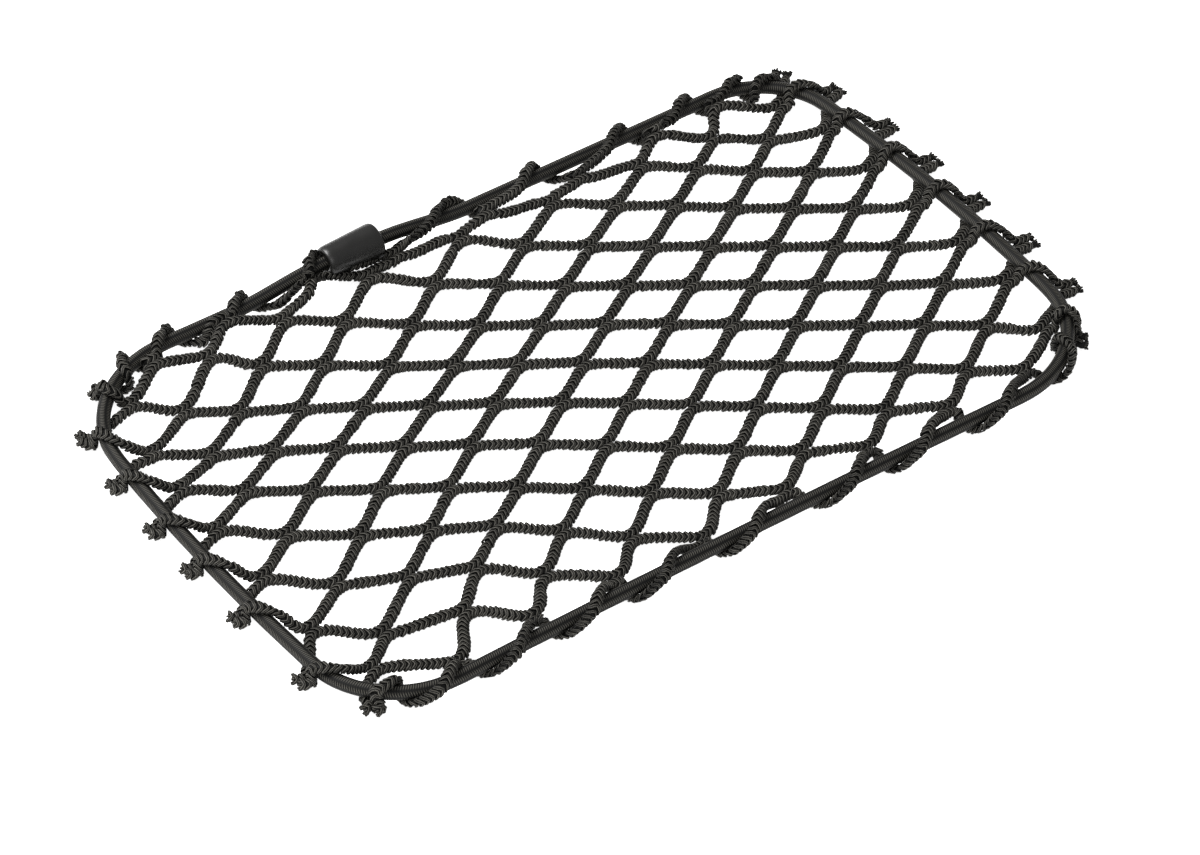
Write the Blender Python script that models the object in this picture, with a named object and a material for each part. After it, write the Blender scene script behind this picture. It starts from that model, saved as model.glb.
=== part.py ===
"""Elastic net pocket: a knotless net panel laced onto a closed elastic cord.

Tables are in millimetres and the file is in metres. X runs along the long side of the
rim, Y across it, Z up. The pocket lies flat: its net rests on the plane Z = 0, and the
middle of its box is over the origin.

Nodes: net_panel, elastic_cord, cord_ferrule.
"""

import math

import bpy

MM = 0.001

# Net. Every bar of the mesh is one length; the cords of the net run along X in zigzag
# and join their neighbours at the nodes. A node is named by its column and its row.
FIRST_COLUMN = -10
LAST_COLUMN = 8
FIRST_ROW = -10
LAST_ROW = 6
LEG_WIDTH = 4.4
LEG_THICKNESS = 3.0
PRESSED_THICKNESS = 2.4
CREST_INSET = 0.5
JOIN_HALF_LENGTH = 2.6
JOIN_HALF_WIDTH = 4.0
CROTCH_REACH = 3.8
BAR_SEGMENTS = 3
MOST_EASED_STOPS = 2
STOP_SPACING = 5.5
BAR_HANDLE = 0.36
MOST_HANDLE = 3.2

# How the laced net lies: (power of x, power of y, x share, y share), for a node at
# x = (column + 1) / 8 and y = (row + 2) / 7.
DRIFT = (
    (0, 0, 4.3, 9.2),
    (0, 1, 1.4, 100.1),
    (0, 2, -3.8, -10.9),
    (0, 3, -2.9, -4.3),
    (1, 0, 170.9, 2.5),
    (1, 1, -2.1, 0.0),
    (1, 2, -10.4, 3.6),
    (2, 0, -1.7, 0.2),
    (2, 1, 1.7, 3.3),
    (3, 0, -4.6, -2.5),
)

# Places where the lacing draws the net: (column, row, reach in meshes, x pull, y pull).
PULLS = (
    (4, 5, 3.0, 4.6, -0.5),
    (-4, 4, 1.5, 0.6, 5.5),
    (-6, -7, 1.5, 4.6, 7.6),
    (-1, 4, 1.5, 1.7, 9.1),
    (-8, 5, 1.5, 5.3, 6.9),
    (-8, -9, 1.5, 8.2, 3.4),
    (3, 4, 1.5, 6.9, 5.8),
    (-5, 4, 1.5, -0.7, 6.8),
    (-8, -6, 1.5, -3.2, -4.2),
    (4, -2, 4.0, -4.7, -3.2),
    (-7, -5, 1.5, 4.4, -0.4),
    (7, -6, 1.5, 4.1, 2.2),
    (-9, 2, 1.5, -2.5, -4.7),
    (-3, -4, 2.0, 2.5, 1.2),
    (-4, 5, 0.5, -2.6, 0.0),
)

# Rim: half sizes of the cord loop, corner radii and the bow of each side.
HALF_LENGTH = 170.9
HALF_WIDTH = 109.0
# (x side, y side, radius, first angle in degrees), the left-hand way round
RIM_CORNERS = (
    (1, 1, 30.7, 0),
    (-1, 1, 45.9, 90),
    (-1, -1, 35.1, 180),
    (1, -1, 44.8, 270),
)
BOW_RIGHT = 6.6
BOW_LEFT = 5.7
BOW_BACK = -0.3
BOW_FRONT = -1.8
CORNER_STEPS = 7
SIDE_STEP = 11.0

# Elastic cord.
CORD_RADIUS = 2.85
CORD_SIDES = 8
CORD_HEIGHT = 5.35
CORD_CLEARANCE = 0.45
CORD_END_GAP = 0.8

# Ferrule over the two cord ends; it rests on the net leg that passes under it.
FERRULE_X = -39.0
FERRULE_HEIGHT = 9.7
FERRULE_HALF_LENGTH = 12.3
FERRULE_RISE_LENGTH = 44.0
FERRULE_SIDES = 20
# (distance along the ferrule from its middle, radius), round the wall of the sleeve
FERRULE_WALL = (
    (-12.3, 3.3),
    (-12.3, 5.5),
    (-11.7, 6.2),
    (-10.4, 6.6),
    (11.5, 7.7),
    (12.3, 6.9),
    (12.3, 3.3),
)

# Meshes laced on the cord: stations along the rim, the left-hand way round from the
# middle of the right side. Tails end the cut short sides of the net, loops edge its long
# sides. A tail is (station, reach outside the cord, length).
RIGHT_TAILS = (
    (-93.0, 5.0, 3.4),
    (-65.5, 8.1, 6.2),
    (-35.3, 9.1, 6.9),
    (-4.1, 7.6, 7.8),
    (26.1, 8.6, 7.2),
    (54.0, 10.4, 6.0),
    (83.0, 9.5, 6.0),
    (101.0, 9.1, 6.4),
)
BACK_LOOPS = (115.0, 140.5, 173.5, 217.0, 260.5, 322.0, 356.6, 390.5, 412.0)
LEFT_TAILS = (
    (427.5, 5.5, 3.4),
    (452.8, 5.5, 3.6),
    (479.0, 5.5, 3.4),
    (508.0, 5.5, 3.2),
    (534.0, 5.5, 3.0),
    (565.5, 5.5, 3.0),
    (605.5, 5.5, 3.2),
    (631.0, 5.5, 3.4),
)
FRONT_LOOPS = (648.5, 681.0, 714.0, 747.0, 788.0, 834.5, 867.5, 907.0, 951.0)

# How far before its station a mesh goes under the cord, how far past it the mesh comes
# back over, and how far outside the cord the loops lie.
RIGHT_LACING = {"under": 6.0, "over": 11.0}
BACK_LACING = {"under": 5.6, "over": 4.6}
LEFT_LACING = {"under": 5.0, "over": 4.6}
FRONT_LACING = {"under": 8.4, "over": 9.0}
LOOP_REACH = 5.5
SLANT_SHARE = 0.22
MOST_SLANT = 1.8
LEAST_CROSSING_SPACING = 6.4
LEAST_RING_GAP = 8.8
LONG_LAG = 8.0
# Distances from the cord's centreline where a leg is shaped as it crosses.
UNDER_REACH = 4.2
LOW_REACH = 3.2
OVER_REACH = 2.4
INSIDE_REACH = -5.7
INSIDE_OVER = 0.7

# Heights of the net at the rim.
RING_LIFT = 2.2
RING_LIFT_START = -24.0
RING_LIFT_FULL = -13.0
PORT_LIFT = 0.6
OVER_FLAT = 3.7
OVER_END = 9.4


def clear_scene():
    """Remove every object the new file starts with."""
    for item in list(bpy.data.objects):
        bpy.data.objects.remove(item, do_unlink=True)


def smooth(value):
    """Ease a value clamped to 0..1."""
    value = min(1.0, max(0.0, value))
    return value * value * (3.0 - 2.0 * value)


def unit(x, y):
    """Direction of a plan vector."""
    size = math.hypot(x, y) or 1.0
    return (x / size, y / size)


class Rim:
    """Plan of the cord's centreline, measured by length the left-hand way round."""

    def __init__(self):
        points = self.closed_plan()
        start = min(range(len(points)), key=lambda i: abs(points[i][1]) - points[i][0])
        self.points = points[start:] + points[:start]
        self.offset = self.points[0][1]
        self.lengths = [0.0]
        for first, second in self.sides():
            self.lengths.append(self.lengths[-1] + math.dist(first, second))
        self.total = self.lengths[-1]

    def closed_plan(self):
        """Rounded rectangle with bowed sides."""
        bends = []
        for side_x, side_y, radius, first_angle in RIM_CORNERS:
            middle_x = side_x * (HALF_LENGTH - radius)
            middle_y = side_y * (HALF_WIDTH - radius)
            for step in range(CORNER_STEPS + 1):
                angle = math.radians(first_angle + 90.0 * step / CORNER_STEPS)
                x = middle_x + radius * math.cos(angle)
                y = middle_y + radius * math.sin(angle)
                bends.append((x, y))
        points = []
        for index, first in enumerate(bends):
            second = bends[(index + 1) % len(bends)]
            count = max(1, int(math.dist(first, second) / SIDE_STEP))
            for step in range(count):
                share = step / count
                x = first[0] + (second[0] - first[0]) * share
                y = first[1] + (second[1] - first[1]) * share
                points.append(self.bowed(x, y))
        return points

    @staticmethod
    def bowed(x, y):
        """Move a point of the plain rounded rectangle by the bow of its sides."""
        along = x / HALF_LENGTH
        across = y / HALF_WIDTH
        bow_x = (BOW_RIGHT if along > 0 else BOW_LEFT) * along
        bow_y = (BOW_BACK if across > 0 else BOW_FRONT) * across
        return (x + bow_x * (1.0 - across ** 2), y + bow_y * (1.0 - along ** 2))

    def sides(self):
        """Pairs of neighbouring points round the loop."""
        count = len(self.points)
        return [(self.points[i], self.points[(i + 1) % count]) for i in range(count)]

    def at(self, station, reach=0.0):
        """Plan point at a station, moved outwards by a reach."""
        place = (station - self.offset) % self.total
        index = 0
        while self.lengths[index + 1] < place:
            index += 1
        first = self.points[index]
        second = self.points[(index + 1) % len(self.points)]
        span = self.lengths[index + 1] - self.lengths[index]
        share = (place - self.lengths[index]) / span
        x = first[0] + (second[0] - first[0]) * share
        y = first[1] + (second[1] - first[1]) * share
        if reach:
            out_x, out_y = self.outward(station)
            x += out_x * reach
            y += out_y * reach
        return (x, y)

    def outward(self, station):
        """Outward direction at a station, evened over a few millimetres."""
        ahead = self.at(station + 4.0)
        behind = self.at(station - 4.0)
        along = unit(ahead[0] - behind[0], ahead[1] - behind[1])
        return (along[1], -along[0])

    def distance(self, x, y):
        """Signed distance from the cord's centreline, positive outside."""
        return self.nearest(x, y)[0]

    def station(self, x, y):
        """Station of the point of the centreline nearest to a plan point."""
        return self.nearest(x, y)[1]

    def ahead(self, station, other):
        """How far one station is ahead of another, the short way round."""
        half = self.total / 2.0
        return (other - station + half) % self.total - half

    def nearest(self, x, y):
        """Signed distance and station of the nearest point of the centreline."""
        best = None
        place = 0.0
        for index, (first, second) in enumerate(self.sides()):
            side_x = second[0] - first[0]
            side_y = second[1] - first[1]
            square = side_x * side_x + side_y * side_y
            share = ((x - first[0]) * side_x + (y - first[1]) * side_y) / square
            share = min(1.0, max(0.0, share))
            gap_x = x - first[0] - side_x * share
            gap_y = y - first[1] - side_y * share
            gap = math.hypot(gap_x, gap_y)
            if best is None or gap < abs(best):
                outside = gap_x * side_y - gap_y * side_x > 0
                best = gap if outside else -gap
                place = self.lengths[index] + share * math.sqrt(square)
        return best, place + self.offset


RIM = Rim()


def near_ferrule(x, y):
    """1 beside the ferrule, easing to 0 along the back side."""
    if y < 0.0:
        return 0.0
    gap = abs(x - FERRULE_X) - FERRULE_HALF_LENGTH
    return 1.0 - smooth(gap / FERRULE_RISE_LENGTH)


def cord_height(x, y):
    """Height of the cord's centreline."""
    return CORD_HEIGHT + (FERRULE_HEIGHT - CORD_HEIGHT) * near_ferrule(x, y)


def node_place(column, row):
    """Plan point of an inner node of the laced net."""
    along = (column + 1) / 8.0
    across = (row + 2) / 7.0
    x = 0.0
    y = 0.0
    for power_x, power_y, share_x, share_y in DRIFT:
        term = along ** power_x * across ** power_y
        x += share_x * term
        y += share_y * term
    for pull_column, pull_row, reach, pull_x, pull_y in PULLS:
        square = (column - pull_column) ** 2 + (row - pull_row) ** 2
        weight = math.exp(-square / (2.0 * reach * reach))
        x += pull_x * weight
        y += pull_y * weight
    return kept_inside(x, y)


def kept_inside(x, y):
    """Move a node inwards until it clears the cord."""
    for _ in range(6):
        gap = RIM.distance(x, y)
        if gap <= -LEAST_RING_GAP:
            break
        slope_x = (RIM.distance(x + 0.2, y) - gap) / 0.2
        slope_y = (RIM.distance(x, y + 0.2) - gap) / 0.2
        out_x, out_y = unit(slope_x, slope_y)
        x -= out_x * (gap + LEAST_RING_GAP)
        y -= out_y * (gap + LEAST_RING_GAP)
    return (x, y)


class Slab:
    """Plan polygons that share corners, raised into one closed solid."""

    def __init__(self):
        self.low = []
        self.high = []
        self.faces = []

    def corner(self, place, inward, over):
        """Add a corner: plan point, direction of the crest inset, share of the rise over."""
        x, y = place
        bottom, top = self.heights(x, y, over)
        self.low.append((x, y, bottom))
        crest_x = x + inward[0] * CREST_INSET
        crest_y = y + inward[1] * CREST_INSET
        self.high.append((crest_x, crest_y, top))
        return len(self.low) - 1

    @staticmethod
    def heights(x, y, over):
        """Underside and top of the net at a plan point."""
        gap = RIM.distance(x, y)
        beside = near_ferrule(x, y)
        rise = smooth((gap - RING_LIFT_START) / (RING_LIFT_FULL - RING_LIFT_START))
        fall = smooth((-4.6 - gap) / 4.0)
        under = RING_LIFT * rise * fall * (1.0 - beside)
        crest = cord_height(x, y) + CORD_RADIUS + CORD_CLEARANCE
        slope = (OVER_END - abs(gap)) / (OVER_END - OVER_FLAT)
        crossing = max(under, crest * min(1.0, max(0.0, slope)))
        bottom = under + (crossing - under) * over
        reach = 6.0 + 5.0 * beside
        press = (1.0 - over) * smooth((reach + 3.0 - abs(gap)) / 3.0)
        return bottom, bottom + LEG_THICKNESS + (PRESSED_THICKNESS - LEG_THICKNESS) * press

    def patch(self, *corners):
        """Add a plan polygon of existing corners, the left-hand way round."""
        self.faces.append(corners)

    def solid(self):
        """Points and triangles of the raised slab."""
        count = len(self.low)
        sides = {}
        triangles = []
        for face in self.faces:
            for index in range(1, len(face) - 1):
                first, second, third = face[0], face[index], face[index + 1]
                triangles.append((third, second, first))
                triangles.append((first + count, second + count, third + count))
            for first, second in zip(face, face[1:] + face[:1]):
                sides[(first, second)] = True
        for first, second in sides:
            if (second, first) in sides:
                continue
            triangles.append((first, second, second + count))
            triangles.append((first, second + count, first + count))
        return self.low + self.high, triangles


class Port:
    """Mouth of a node where a leg joins: its two corners and its outward direction."""

    def __init__(self, slab, right, left):
        self.right = right
        self.left = left
        right_place = slab.low[right]
        left_place = slab.low[left]
        self.middle = (
            (right_place[0] + left_place[0]) / 2.0,
            (right_place[1] + left_place[1]) / 2.0,
        )
        along = unit(left_place[0] - right_place[0], left_place[1] - right_place[1])
        self.direction = (along[1], -along[0])


def bezier(points, share):
    """Point of a cubic curve."""
    rest = 1.0 - share
    weights = (rest ** 3, 3 * rest ** 2 * share, 3 * rest * share ** 2, share ** 3)
    x = sum(weight * point[0] for weight, point in zip(weights, points))
    y = sum(weight * point[1] for weight, point in zip(weights, points))
    return (x, y)


def eased_stops(place, course, far_place, far_course, over):
    """Stops on a smooth curve between two plan points, none if they are near."""
    span = math.dist(place, far_place)
    count = min(MOST_EASED_STOPS, int(span / STOP_SPACING))
    handle = min(BAR_HANDLE * span, MOST_HANDLE)
    controls = (
        place,
        (place[0] + course[0] * handle, place[1] + course[1] * handle),
        (far_place[0] - far_course[0] * handle, far_place[1] - far_course[1] * handle),
        far_place,
    )
    shares = [(step + 1) / (count + 1) for step in range(count)]
    return [(bezier(controls, share), over) for share in shares]


def add_leg(slab, start, end, stops):
    """Join two ports by a ribbon of the leg's width through (plan point, over) stops."""
    places = [start.middle] + [place for place, _ in stops] + [end.middle]
    right, left = start.right, start.left
    for index, (place, over) in enumerate(stops):
        behind = places[index]
        ahead = places[index + 2]
        along = unit(ahead[0] - behind[0], ahead[1] - behind[1])
        side = (along[1], -along[0])
        half = LEG_WIDTH / 2.0
        right_place = (place[0] + side[0] * half, place[1] + side[1] * half)
        left_place = (place[0] - side[0] * half, place[1] - side[1] * half)
        next_right = slab.corner(right_place, (-side[0], -side[1]), over)
        next_left = slab.corner(left_place, side, over)
        slab.patch(right, next_right, next_left, left)
        right, left = next_right, next_left
    slab.patch(right, end.left, end.right, left)


def add_bar(slab, start, end):
    """Join two inner nodes by one S-shaped bar."""
    back = (-end.direction[0], -end.direction[1])
    handle = BAR_HANDLE * math.dist(start.middle, end.middle)
    controls = (
        start.middle,
        (
            start.middle[0] + start.direction[0] * handle,
            start.middle[1] + start.direction[1] * handle,
        ),
        (end.middle[0] - back[0] * handle, end.middle[1] - back[1] * handle),
        end.middle,
    )
    shares = [step / BAR_SEGMENTS for step in range(1, BAR_SEGMENTS)]
    add_leg(slab, start, end, [(bezier(controls, share), 0.0) for share in shares])


def add_thread(slab, start, end, stops):
    """Join two ports by a leg that threads the cord, easing out of both ports."""
    first, last = stops[0], stops[-1]
    first_way = unit(stops[1][0][0] - first[0][0], stops[1][0][1] - first[0][1])
    last_way = unit(last[0][0] - stops[-2][0][0], last[0][1] - stops[-2][0][1])
    back = (-end.direction[0], -end.direction[1])
    leaving = eased_stops(start.middle, start.direction, first[0], first_way, first[1])
    arriving = eased_stops(last[0], last_way, end.middle, back, last[1])
    add_leg(slab, start, end, leaving + stops + arriving)


def add_node(slab, place, along, lifted=None):
    """Add the join of two net cords and return its four ports by side and level.

    The corner named as lifted rises towards a leg that goes over the cord.
    """
    side = (-along[1], along[0])
    corners = {}
    outline = (
        ("crotch_left", -CROTCH_REACH, 0.0),
        ("low_left", -JOIN_HALF_LENGTH, -JOIN_HALF_WIDTH),
        ("low_right", JOIN_HALF_LENGTH, -JOIN_HALF_WIDTH),
        ("crotch_right", CROTCH_REACH, 0.0),
        ("high_right", JOIN_HALF_LENGTH, JOIN_HALF_WIDTH),
        ("high_left", -JOIN_HALF_LENGTH, JOIN_HALF_WIDTH),
    )
    for name, reach, spread in outline:
        x = place[0] + along[0] * reach + side[0] * spread
        y = place[1] + along[1] * reach + side[1] * spread
        inward = (0.0, 0.0)
        if spread:
            inward = unit(-side[0] * spread, -side[1] * spread)
        over = PORT_LIFT if name == lifted else 0.0
        corners[name] = slab.corner((x, y), inward, over)
    slab.patch(*[corners[name] for name, _, _ in outline])
    return {
        ("left", "low"): Port(slab, corners["crotch_left"], corners["low_left"]),
        ("right", "low"): Port(slab, corners["low_right"], corners["crotch_right"]),
        ("right", "high"): Port(slab, corners["crotch_right"], corners["high_right"]),
        ("left", "high"): Port(slab, corners["high_left"], corners["crotch_left"]),
    }


def laced_meshes():
    """Meshes on the cord in order, each with its stations on the cord."""
    right = [(LAST_COLUMN, row) for row in range(FIRST_ROW + 1, LAST_ROW, 2)]
    back = [(column, LAST_ROW) for column in range(LAST_COLUMN - 1, FIRST_COLUMN, -2)]
    left = [(FIRST_COLUMN, row) for row in range(LAST_ROW - 1, FIRST_ROW, -2)]
    front = [(column, FIRST_ROW) for column in range(FIRST_COLUMN + 1, LAST_COLUMN, 2)]
    sides = (
        (right, RIGHT_TAILS, RIGHT_LACING),
        (back, BACK_LOOPS, BACK_LACING),
        (left, LEFT_TAILS, LEFT_LACING),
        (front, FRONT_LOOPS, FRONT_LACING),
    )
    meshes = []
    for names, stations, lacing in sides:
        for name, place in zip(names, stations):
            mesh = dict(lacing)
            mesh["name"] = name
            if isinstance(place, tuple):
                mesh["station"], mesh["reach"], mesh["tail"] = place
            else:
                mesh["station"], mesh["reach"], mesh["tail"] = place, LOOP_REACH, 0.0
            meshes.append(mesh)
    crossings = []
    for mesh in meshes:
        crossings.append(mesh["station"] - mesh["under"])
        crossings.append(mesh["station"] + mesh["over"])
    crossings = spread_out(crossings)
    for index, mesh in enumerate(meshes):
        mesh["under"] = crossings[2 * index]
        mesh["over"] = crossings[2 * index + 1]
    return meshes


def spread_out(stations):
    """Push neighbouring stations apart until they keep the least spacing."""
    places = list(stations)
    count = len(places)
    for _ in range(400):
        for index in range(count):
            after = (index + 1) % count
            turn = RIM.total if after == 0 else 0.0
            short = LEAST_CROSSING_SPACING - (places[after] + turn - places[index])
            if short > 0.0:
                places[index] -= short / 2.0
                places[after] += short / 2.0
    return places


def add_tail(slab, mesh):
    """Add the join outside the cord that ends in two cut cords; return its two ports."""
    out = RIM.outward(mesh["station"])
    along = (-out[1], out[0])
    place = RIM.at(mesh["station"], mesh["reach"])
    outline = (
        ("first", 0.0, -JOIN_HALF_WIDTH, 0.0),
        ("first_end", mesh["tail"], -JOIN_HALF_WIDTH - 0.4, 0.0),
        ("notch", mesh["tail"] - 1.2, 0.0, 0.0),
        ("second_end", mesh["tail"] - 0.4, JOIN_HALF_WIDTH + 0.4, 0.3),
        ("second", 0.0, JOIN_HALF_WIDTH, 0.45),
        ("crotch", -0.9, 0.0, 0.5),
    )
    corners = {}
    for name, reach, spread, over in outline:
        x = place[0] + out[0] * reach + along[0] * spread
        y = place[1] + out[1] * reach + along[1] * spread
        inward = (0.0, 0.0)
        if spread:
            inward = unit(-along[0] * spread, -along[1] * spread)
        corners[name] = slab.corner((x, y), inward, over)
    slab.patch(corners["first"], corners["first_end"], corners["notch"], corners["crotch"])
    slab.patch(corners["crotch"], corners["notch"], corners["second_end"], corners["second"])
    first = Port(slab, corners["crotch"], corners["first"])
    second = Port(slab, corners["second"], corners["crotch"])
    return first, second


def slant_to(station, port):
    """How far a crossing leans along the cord towards the port its leg makes for."""
    lead = RIM.ahead(station, RIM.station(*port.middle)) * SLANT_SHARE
    return max(-MOST_SLANT, min(MOST_SLANT, lead))


def under_stops(mesh, slant):
    """Stops where a mesh passes under the cord on its way out."""
    return [
        (RIM.at(mesh["under"] + slant, -UNDER_REACH), 0.0),
        (RIM.at(mesh["under"] - slant, LOW_REACH), 0.0),
    ]


def over_stops(mesh, slant):
    """Stops where a mesh comes back over the cord."""
    return [
        (RIM.at(mesh["over"] - slant, OVER_REACH), 1.0),
        (RIM.at(mesh["over"] + slant, -OVER_REACH), 1.0),
    ]


def loop_stops(mesh, under_slant, over_slant):
    """Stops of the loop that a mesh lays along the outside of the cord."""
    reach = mesh["reach"]
    first = mesh["under"] - under_slant
    last = mesh["over"] - over_slant
    turn = min(3.2, (last - first) * 0.28)
    return [
        (RIM.at(first + turn, reach), 0.1),
        (RIM.at(last - turn, reach), 0.7),
    ]


def ring_name(mesh, following):
    """Name of the inner node between two laced meshes, or None at a corner."""
    (column, row), (next_column, next_row) = mesh["name"], following["name"]
    if column == next_column:
        step = -1 if column == LAST_COLUMN else 1
        return (column + step, (row + next_row) // 2)
    if row == next_row:
        step = -1 if row == LAST_ROW else 1
        return ((column + next_column) // 2, row + step)
    return None


def ring_sides(mesh):
    """Outer port keys of the inner node after a mesh, in the order of the lacing."""
    column, row = mesh["name"]
    if column == LAST_COLUMN:
        return ("right", "low"), ("right", "high")
    if row == LAST_ROW:
        return ("right", "high"), ("left", "high")
    if column == FIRST_COLUMN:
        return ("left", "high"), ("left", "low")
    return ("left", "low"), ("right", "low")


def crossings_by_node(meshes):
    """Plan points on the cord that the outer legs of each inner node make for.

    Also names the corner of the node that the leg over the cord leaves from.
    """
    crossings = {}
    lifted = {}
    for index, mesh in enumerate(meshes):
        following = meshes[(index + 1) % len(meshes)]
        name = ring_name(mesh, following)
        if name is None:
            continue
        over_side, under_side = ring_sides(mesh)
        targets = crossings.setdefault(name, {})
        targets[over_side] = RIM.at(mesh["over"], -OVER_REACH)
        targets[under_side] = RIM.at(following["under"], -UNDER_REACH)
        lifted[name] = over_side[1] + "_" + over_side[0]
    return crossings, lifted


def add_lacing(slab, nodes, meshes):
    """Thread the edge meshes on the cord: each goes under it, round it and back over."""
    ordered = meshes[1:] + meshes[:1]
    start = nodes[ring_name(meshes[0], meshes[1])][ring_sides(meshes[0])[1]]
    stops = []
    for index, mesh in enumerate(ordered):
        following = ordered[(index + 1) % len(ordered)]
        name = ring_name(mesh, following)
        over_side, under_side = ring_sides(mesh)
        end = nodes[name][over_side] if name else None
        under_slant = 0.0 if stops else slant_to(mesh["under"], start)
        over_slant = slant_to(mesh["over"], end) if end else 0.0
        stops += under_stops(mesh, under_slant)
        if mesh["tail"]:
            first, second = add_tail(slab, mesh)
            add_thread(slab, start, first, stops)
            start = second
            stops = []
            if mesh["over"] - mesh["station"] > LONG_LAG:
                shoulder = max(LOW_REACH + 1.6, mesh["reach"] * 0.6)
                stops.append((RIM.at(mesh["over"] - 1.6, shoulder), 0.9))
        else:
            stops += loop_stops(mesh, under_slant, over_slant)
        stops += over_stops(mesh, over_slant)
        if end:
            add_thread(slab, start, end, stops)
            start = nodes[name][under_side]
            stops = []
        else:
            turn = RIM.total if following["under"] < mesh["over"] else 0.0
            between = (mesh["over"] + following["under"] + turn) / 2.0
            stops.append((RIM.at(between, INSIDE_REACH), INSIDE_OVER))


def node_names():
    """Names of the inner nodes."""
    names = []
    for column in range(FIRST_COLUMN + 1, LAST_COLUMN):
        for row in range(FIRST_ROW + 1, LAST_ROW):
            if (column + row) % 2:
                names.append((column, row))
    return names


def net_panel():
    """Points and triangles of the laced net."""
    slab = Slab()
    meshes = laced_meshes()
    crossings, lifted = crossings_by_node(meshes)
    places = {name: node_place(*name) for name in node_names()}
    nodes = {}
    for (column, row), place in places.items():
        way = [0.0, 0.0]
        for side, step in (("right", 1), ("left", -1)):
            for level, rise in (("high", 1), ("low", -1)):
                target = places.get((column + step, row + rise))
                if target is None:
                    target = crossings[(column, row)][(side, level)]
                leg_way = unit(target[0] - place[0], target[1] - place[1])
                way[0] += leg_way[0] * step
                way[1] += leg_way[1] * step
        corner = lifted.get((column, row))
        nodes[(column, row)] = add_node(slab, place, unit(*way), corner)
    for (column, row), ports in nodes.items():
        for level, far_level, step in (("high", "low", 1), ("low", "high", -1)):
            neighbour = nodes.get((column + 1, row + step))
            if neighbour:
                add_bar(slab, ports[("right", level)], neighbour[("left", far_level)])
    add_lacing(slab, nodes, meshes)
    return slab.solid()


def ring_of(place, along, radius, count):
    """Ring of points round a centreline that runs along a plan direction."""
    side = (along[1], -along[0])
    points = []
    for index in range(count):
        angle = math.tau * (index + 0.5) / count
        out = radius * math.cos(angle)
        rise = radius * math.sin(angle)
        points.append((place[0] + side[0] * out, place[1] + side[1] * out, place[2] + rise))
    return points


def bridge(first, second, count):
    """Triangles between two rings of equal count."""
    triangles = []
    for index in range(count):
        after = (index + 1) % count
        triangles.append((first + index, first + after, second + after))
        triangles.append((first + index, second + after, second + index))
    return triangles


def elastic_cord():
    """Points and triangles of the cord, both ends inside the ferrule."""
    back = [i for i, point in enumerate(RIM.points) if point[1] > HALF_WIDTH / 2.0]
    seam = min(back, key=lambda i: abs(RIM.points[i][0] - FERRULE_X))
    before = RIM.points[seam - 1]
    behind = RIM.points[(seam + 1) % len(RIM.points)]
    along = unit(behind[0] - before[0], behind[1] - before[1])
    level = before[1] + (FERRULE_X - before[0]) / along[0] * along[1]
    start = (FERRULE_X + along[0] * CORD_END_GAP / 2.0, level)
    end = (FERRULE_X - along[0] * CORD_END_GAP / 2.0, level)
    loop = RIM.points[seam + 1:] + RIM.points[:seam]
    places = [start] + [point for point in loop if abs(point[0] - FERRULE_X) > 1.5
                        or point[1] < 0.0] + [end]
    points = []
    triangles = []
    for index, (x, y) in enumerate(places):
        first = places[max(0, index - 1)]
        second = places[min(len(places) - 1, index + 1)]
        direction = unit(second[0] - first[0], second[1] - first[1])
        centre = (x, y, cord_height(x, y))
        points += ring_of(centre, direction, CORD_RADIUS, CORD_SIDES)
        if index:
            offset = index * CORD_SIDES
            triangles += bridge(offset, offset - CORD_SIDES, CORD_SIDES)
    last = len(points) - CORD_SIDES
    for index in range(1, CORD_SIDES - 1):
        triangles.append((0, index, index + 1))
        triangles.append((last, last + index + 1, last + index))
    return points, triangles


def cord_ferrule():
    """Points and triangles of the turned sleeve over the cord ends."""
    level = [y for x, y in RIM.points if y > 0.0 and abs(x - FERRULE_X) < 20.0]
    middle = sum(level) / len(level)
    points = []
    for distance, radius in FERRULE_WALL:
        place = (FERRULE_X + distance, middle, FERRULE_HEIGHT)
        points += ring_of(place, (1.0, 0.0), radius, FERRULE_SIDES)
    triangles = []
    rings = len(FERRULE_WALL)
    for index in range(rings):
        first = index * FERRULE_SIDES
        second = ((index + 1) % rings) * FERRULE_SIDES
        triangles += bridge(second, first, FERRULE_SIDES)
    return points, triangles


def box_middle(shapes):
    """Middle of the plan box of every shape."""
    xs = [point[0] for points, _ in shapes.values() for point in points]
    ys = [point[1] for points, _ in shapes.values() for point in points]
    return ((min(xs) + max(xs)) / 2.0, (min(ys) + max(ys)) / 2.0)


def add_object(name, points, triangles, middle):
    """Place a shape in the scene as one mesh object."""
    mesh = bpy.data.meshes.new(name)
    places = [
        ((x - middle[0]) * MM, (y - middle[1]) * MM, z * MM)
        for x, y, z in points
    ]
    mesh.from_pydata(places, [], triangles)
    mesh.update()
    item = bpy.data.objects.new(name, mesh)
    bpy.context.collection.objects.link(item)


def main():
    """Build the three nodes of the pocket."""
    clear_scene()
    shapes = {
        "net_panel": net_panel(),
        "elastic_cord": elastic_cord(),
        "cord_ferrule": cord_ferrule(),
    }
    middle = box_middle(shapes)
    for name, (points, triangles) in shapes.items():
        add_object(name, points, triangles, middle)
        print(name, len(triangles), "triangles")
    print("box middle", round(middle[0], 3), round(middle[1], 3))


if __name__ == "__main__":
    main()
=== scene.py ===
"""Looks of the elastic net pocket: knitted net, braided elastic cord and moulded sleeve.

Tables are in millimetres, centred on the rim, X along its long side and Z up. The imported
frame is in metres, so every mesh is moved and scaled once, where it is made.
"""

import logging
import math
from dataclasses import dataclass, field
from enum import Enum
from typing import Any, Optional, Sequence

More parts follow.
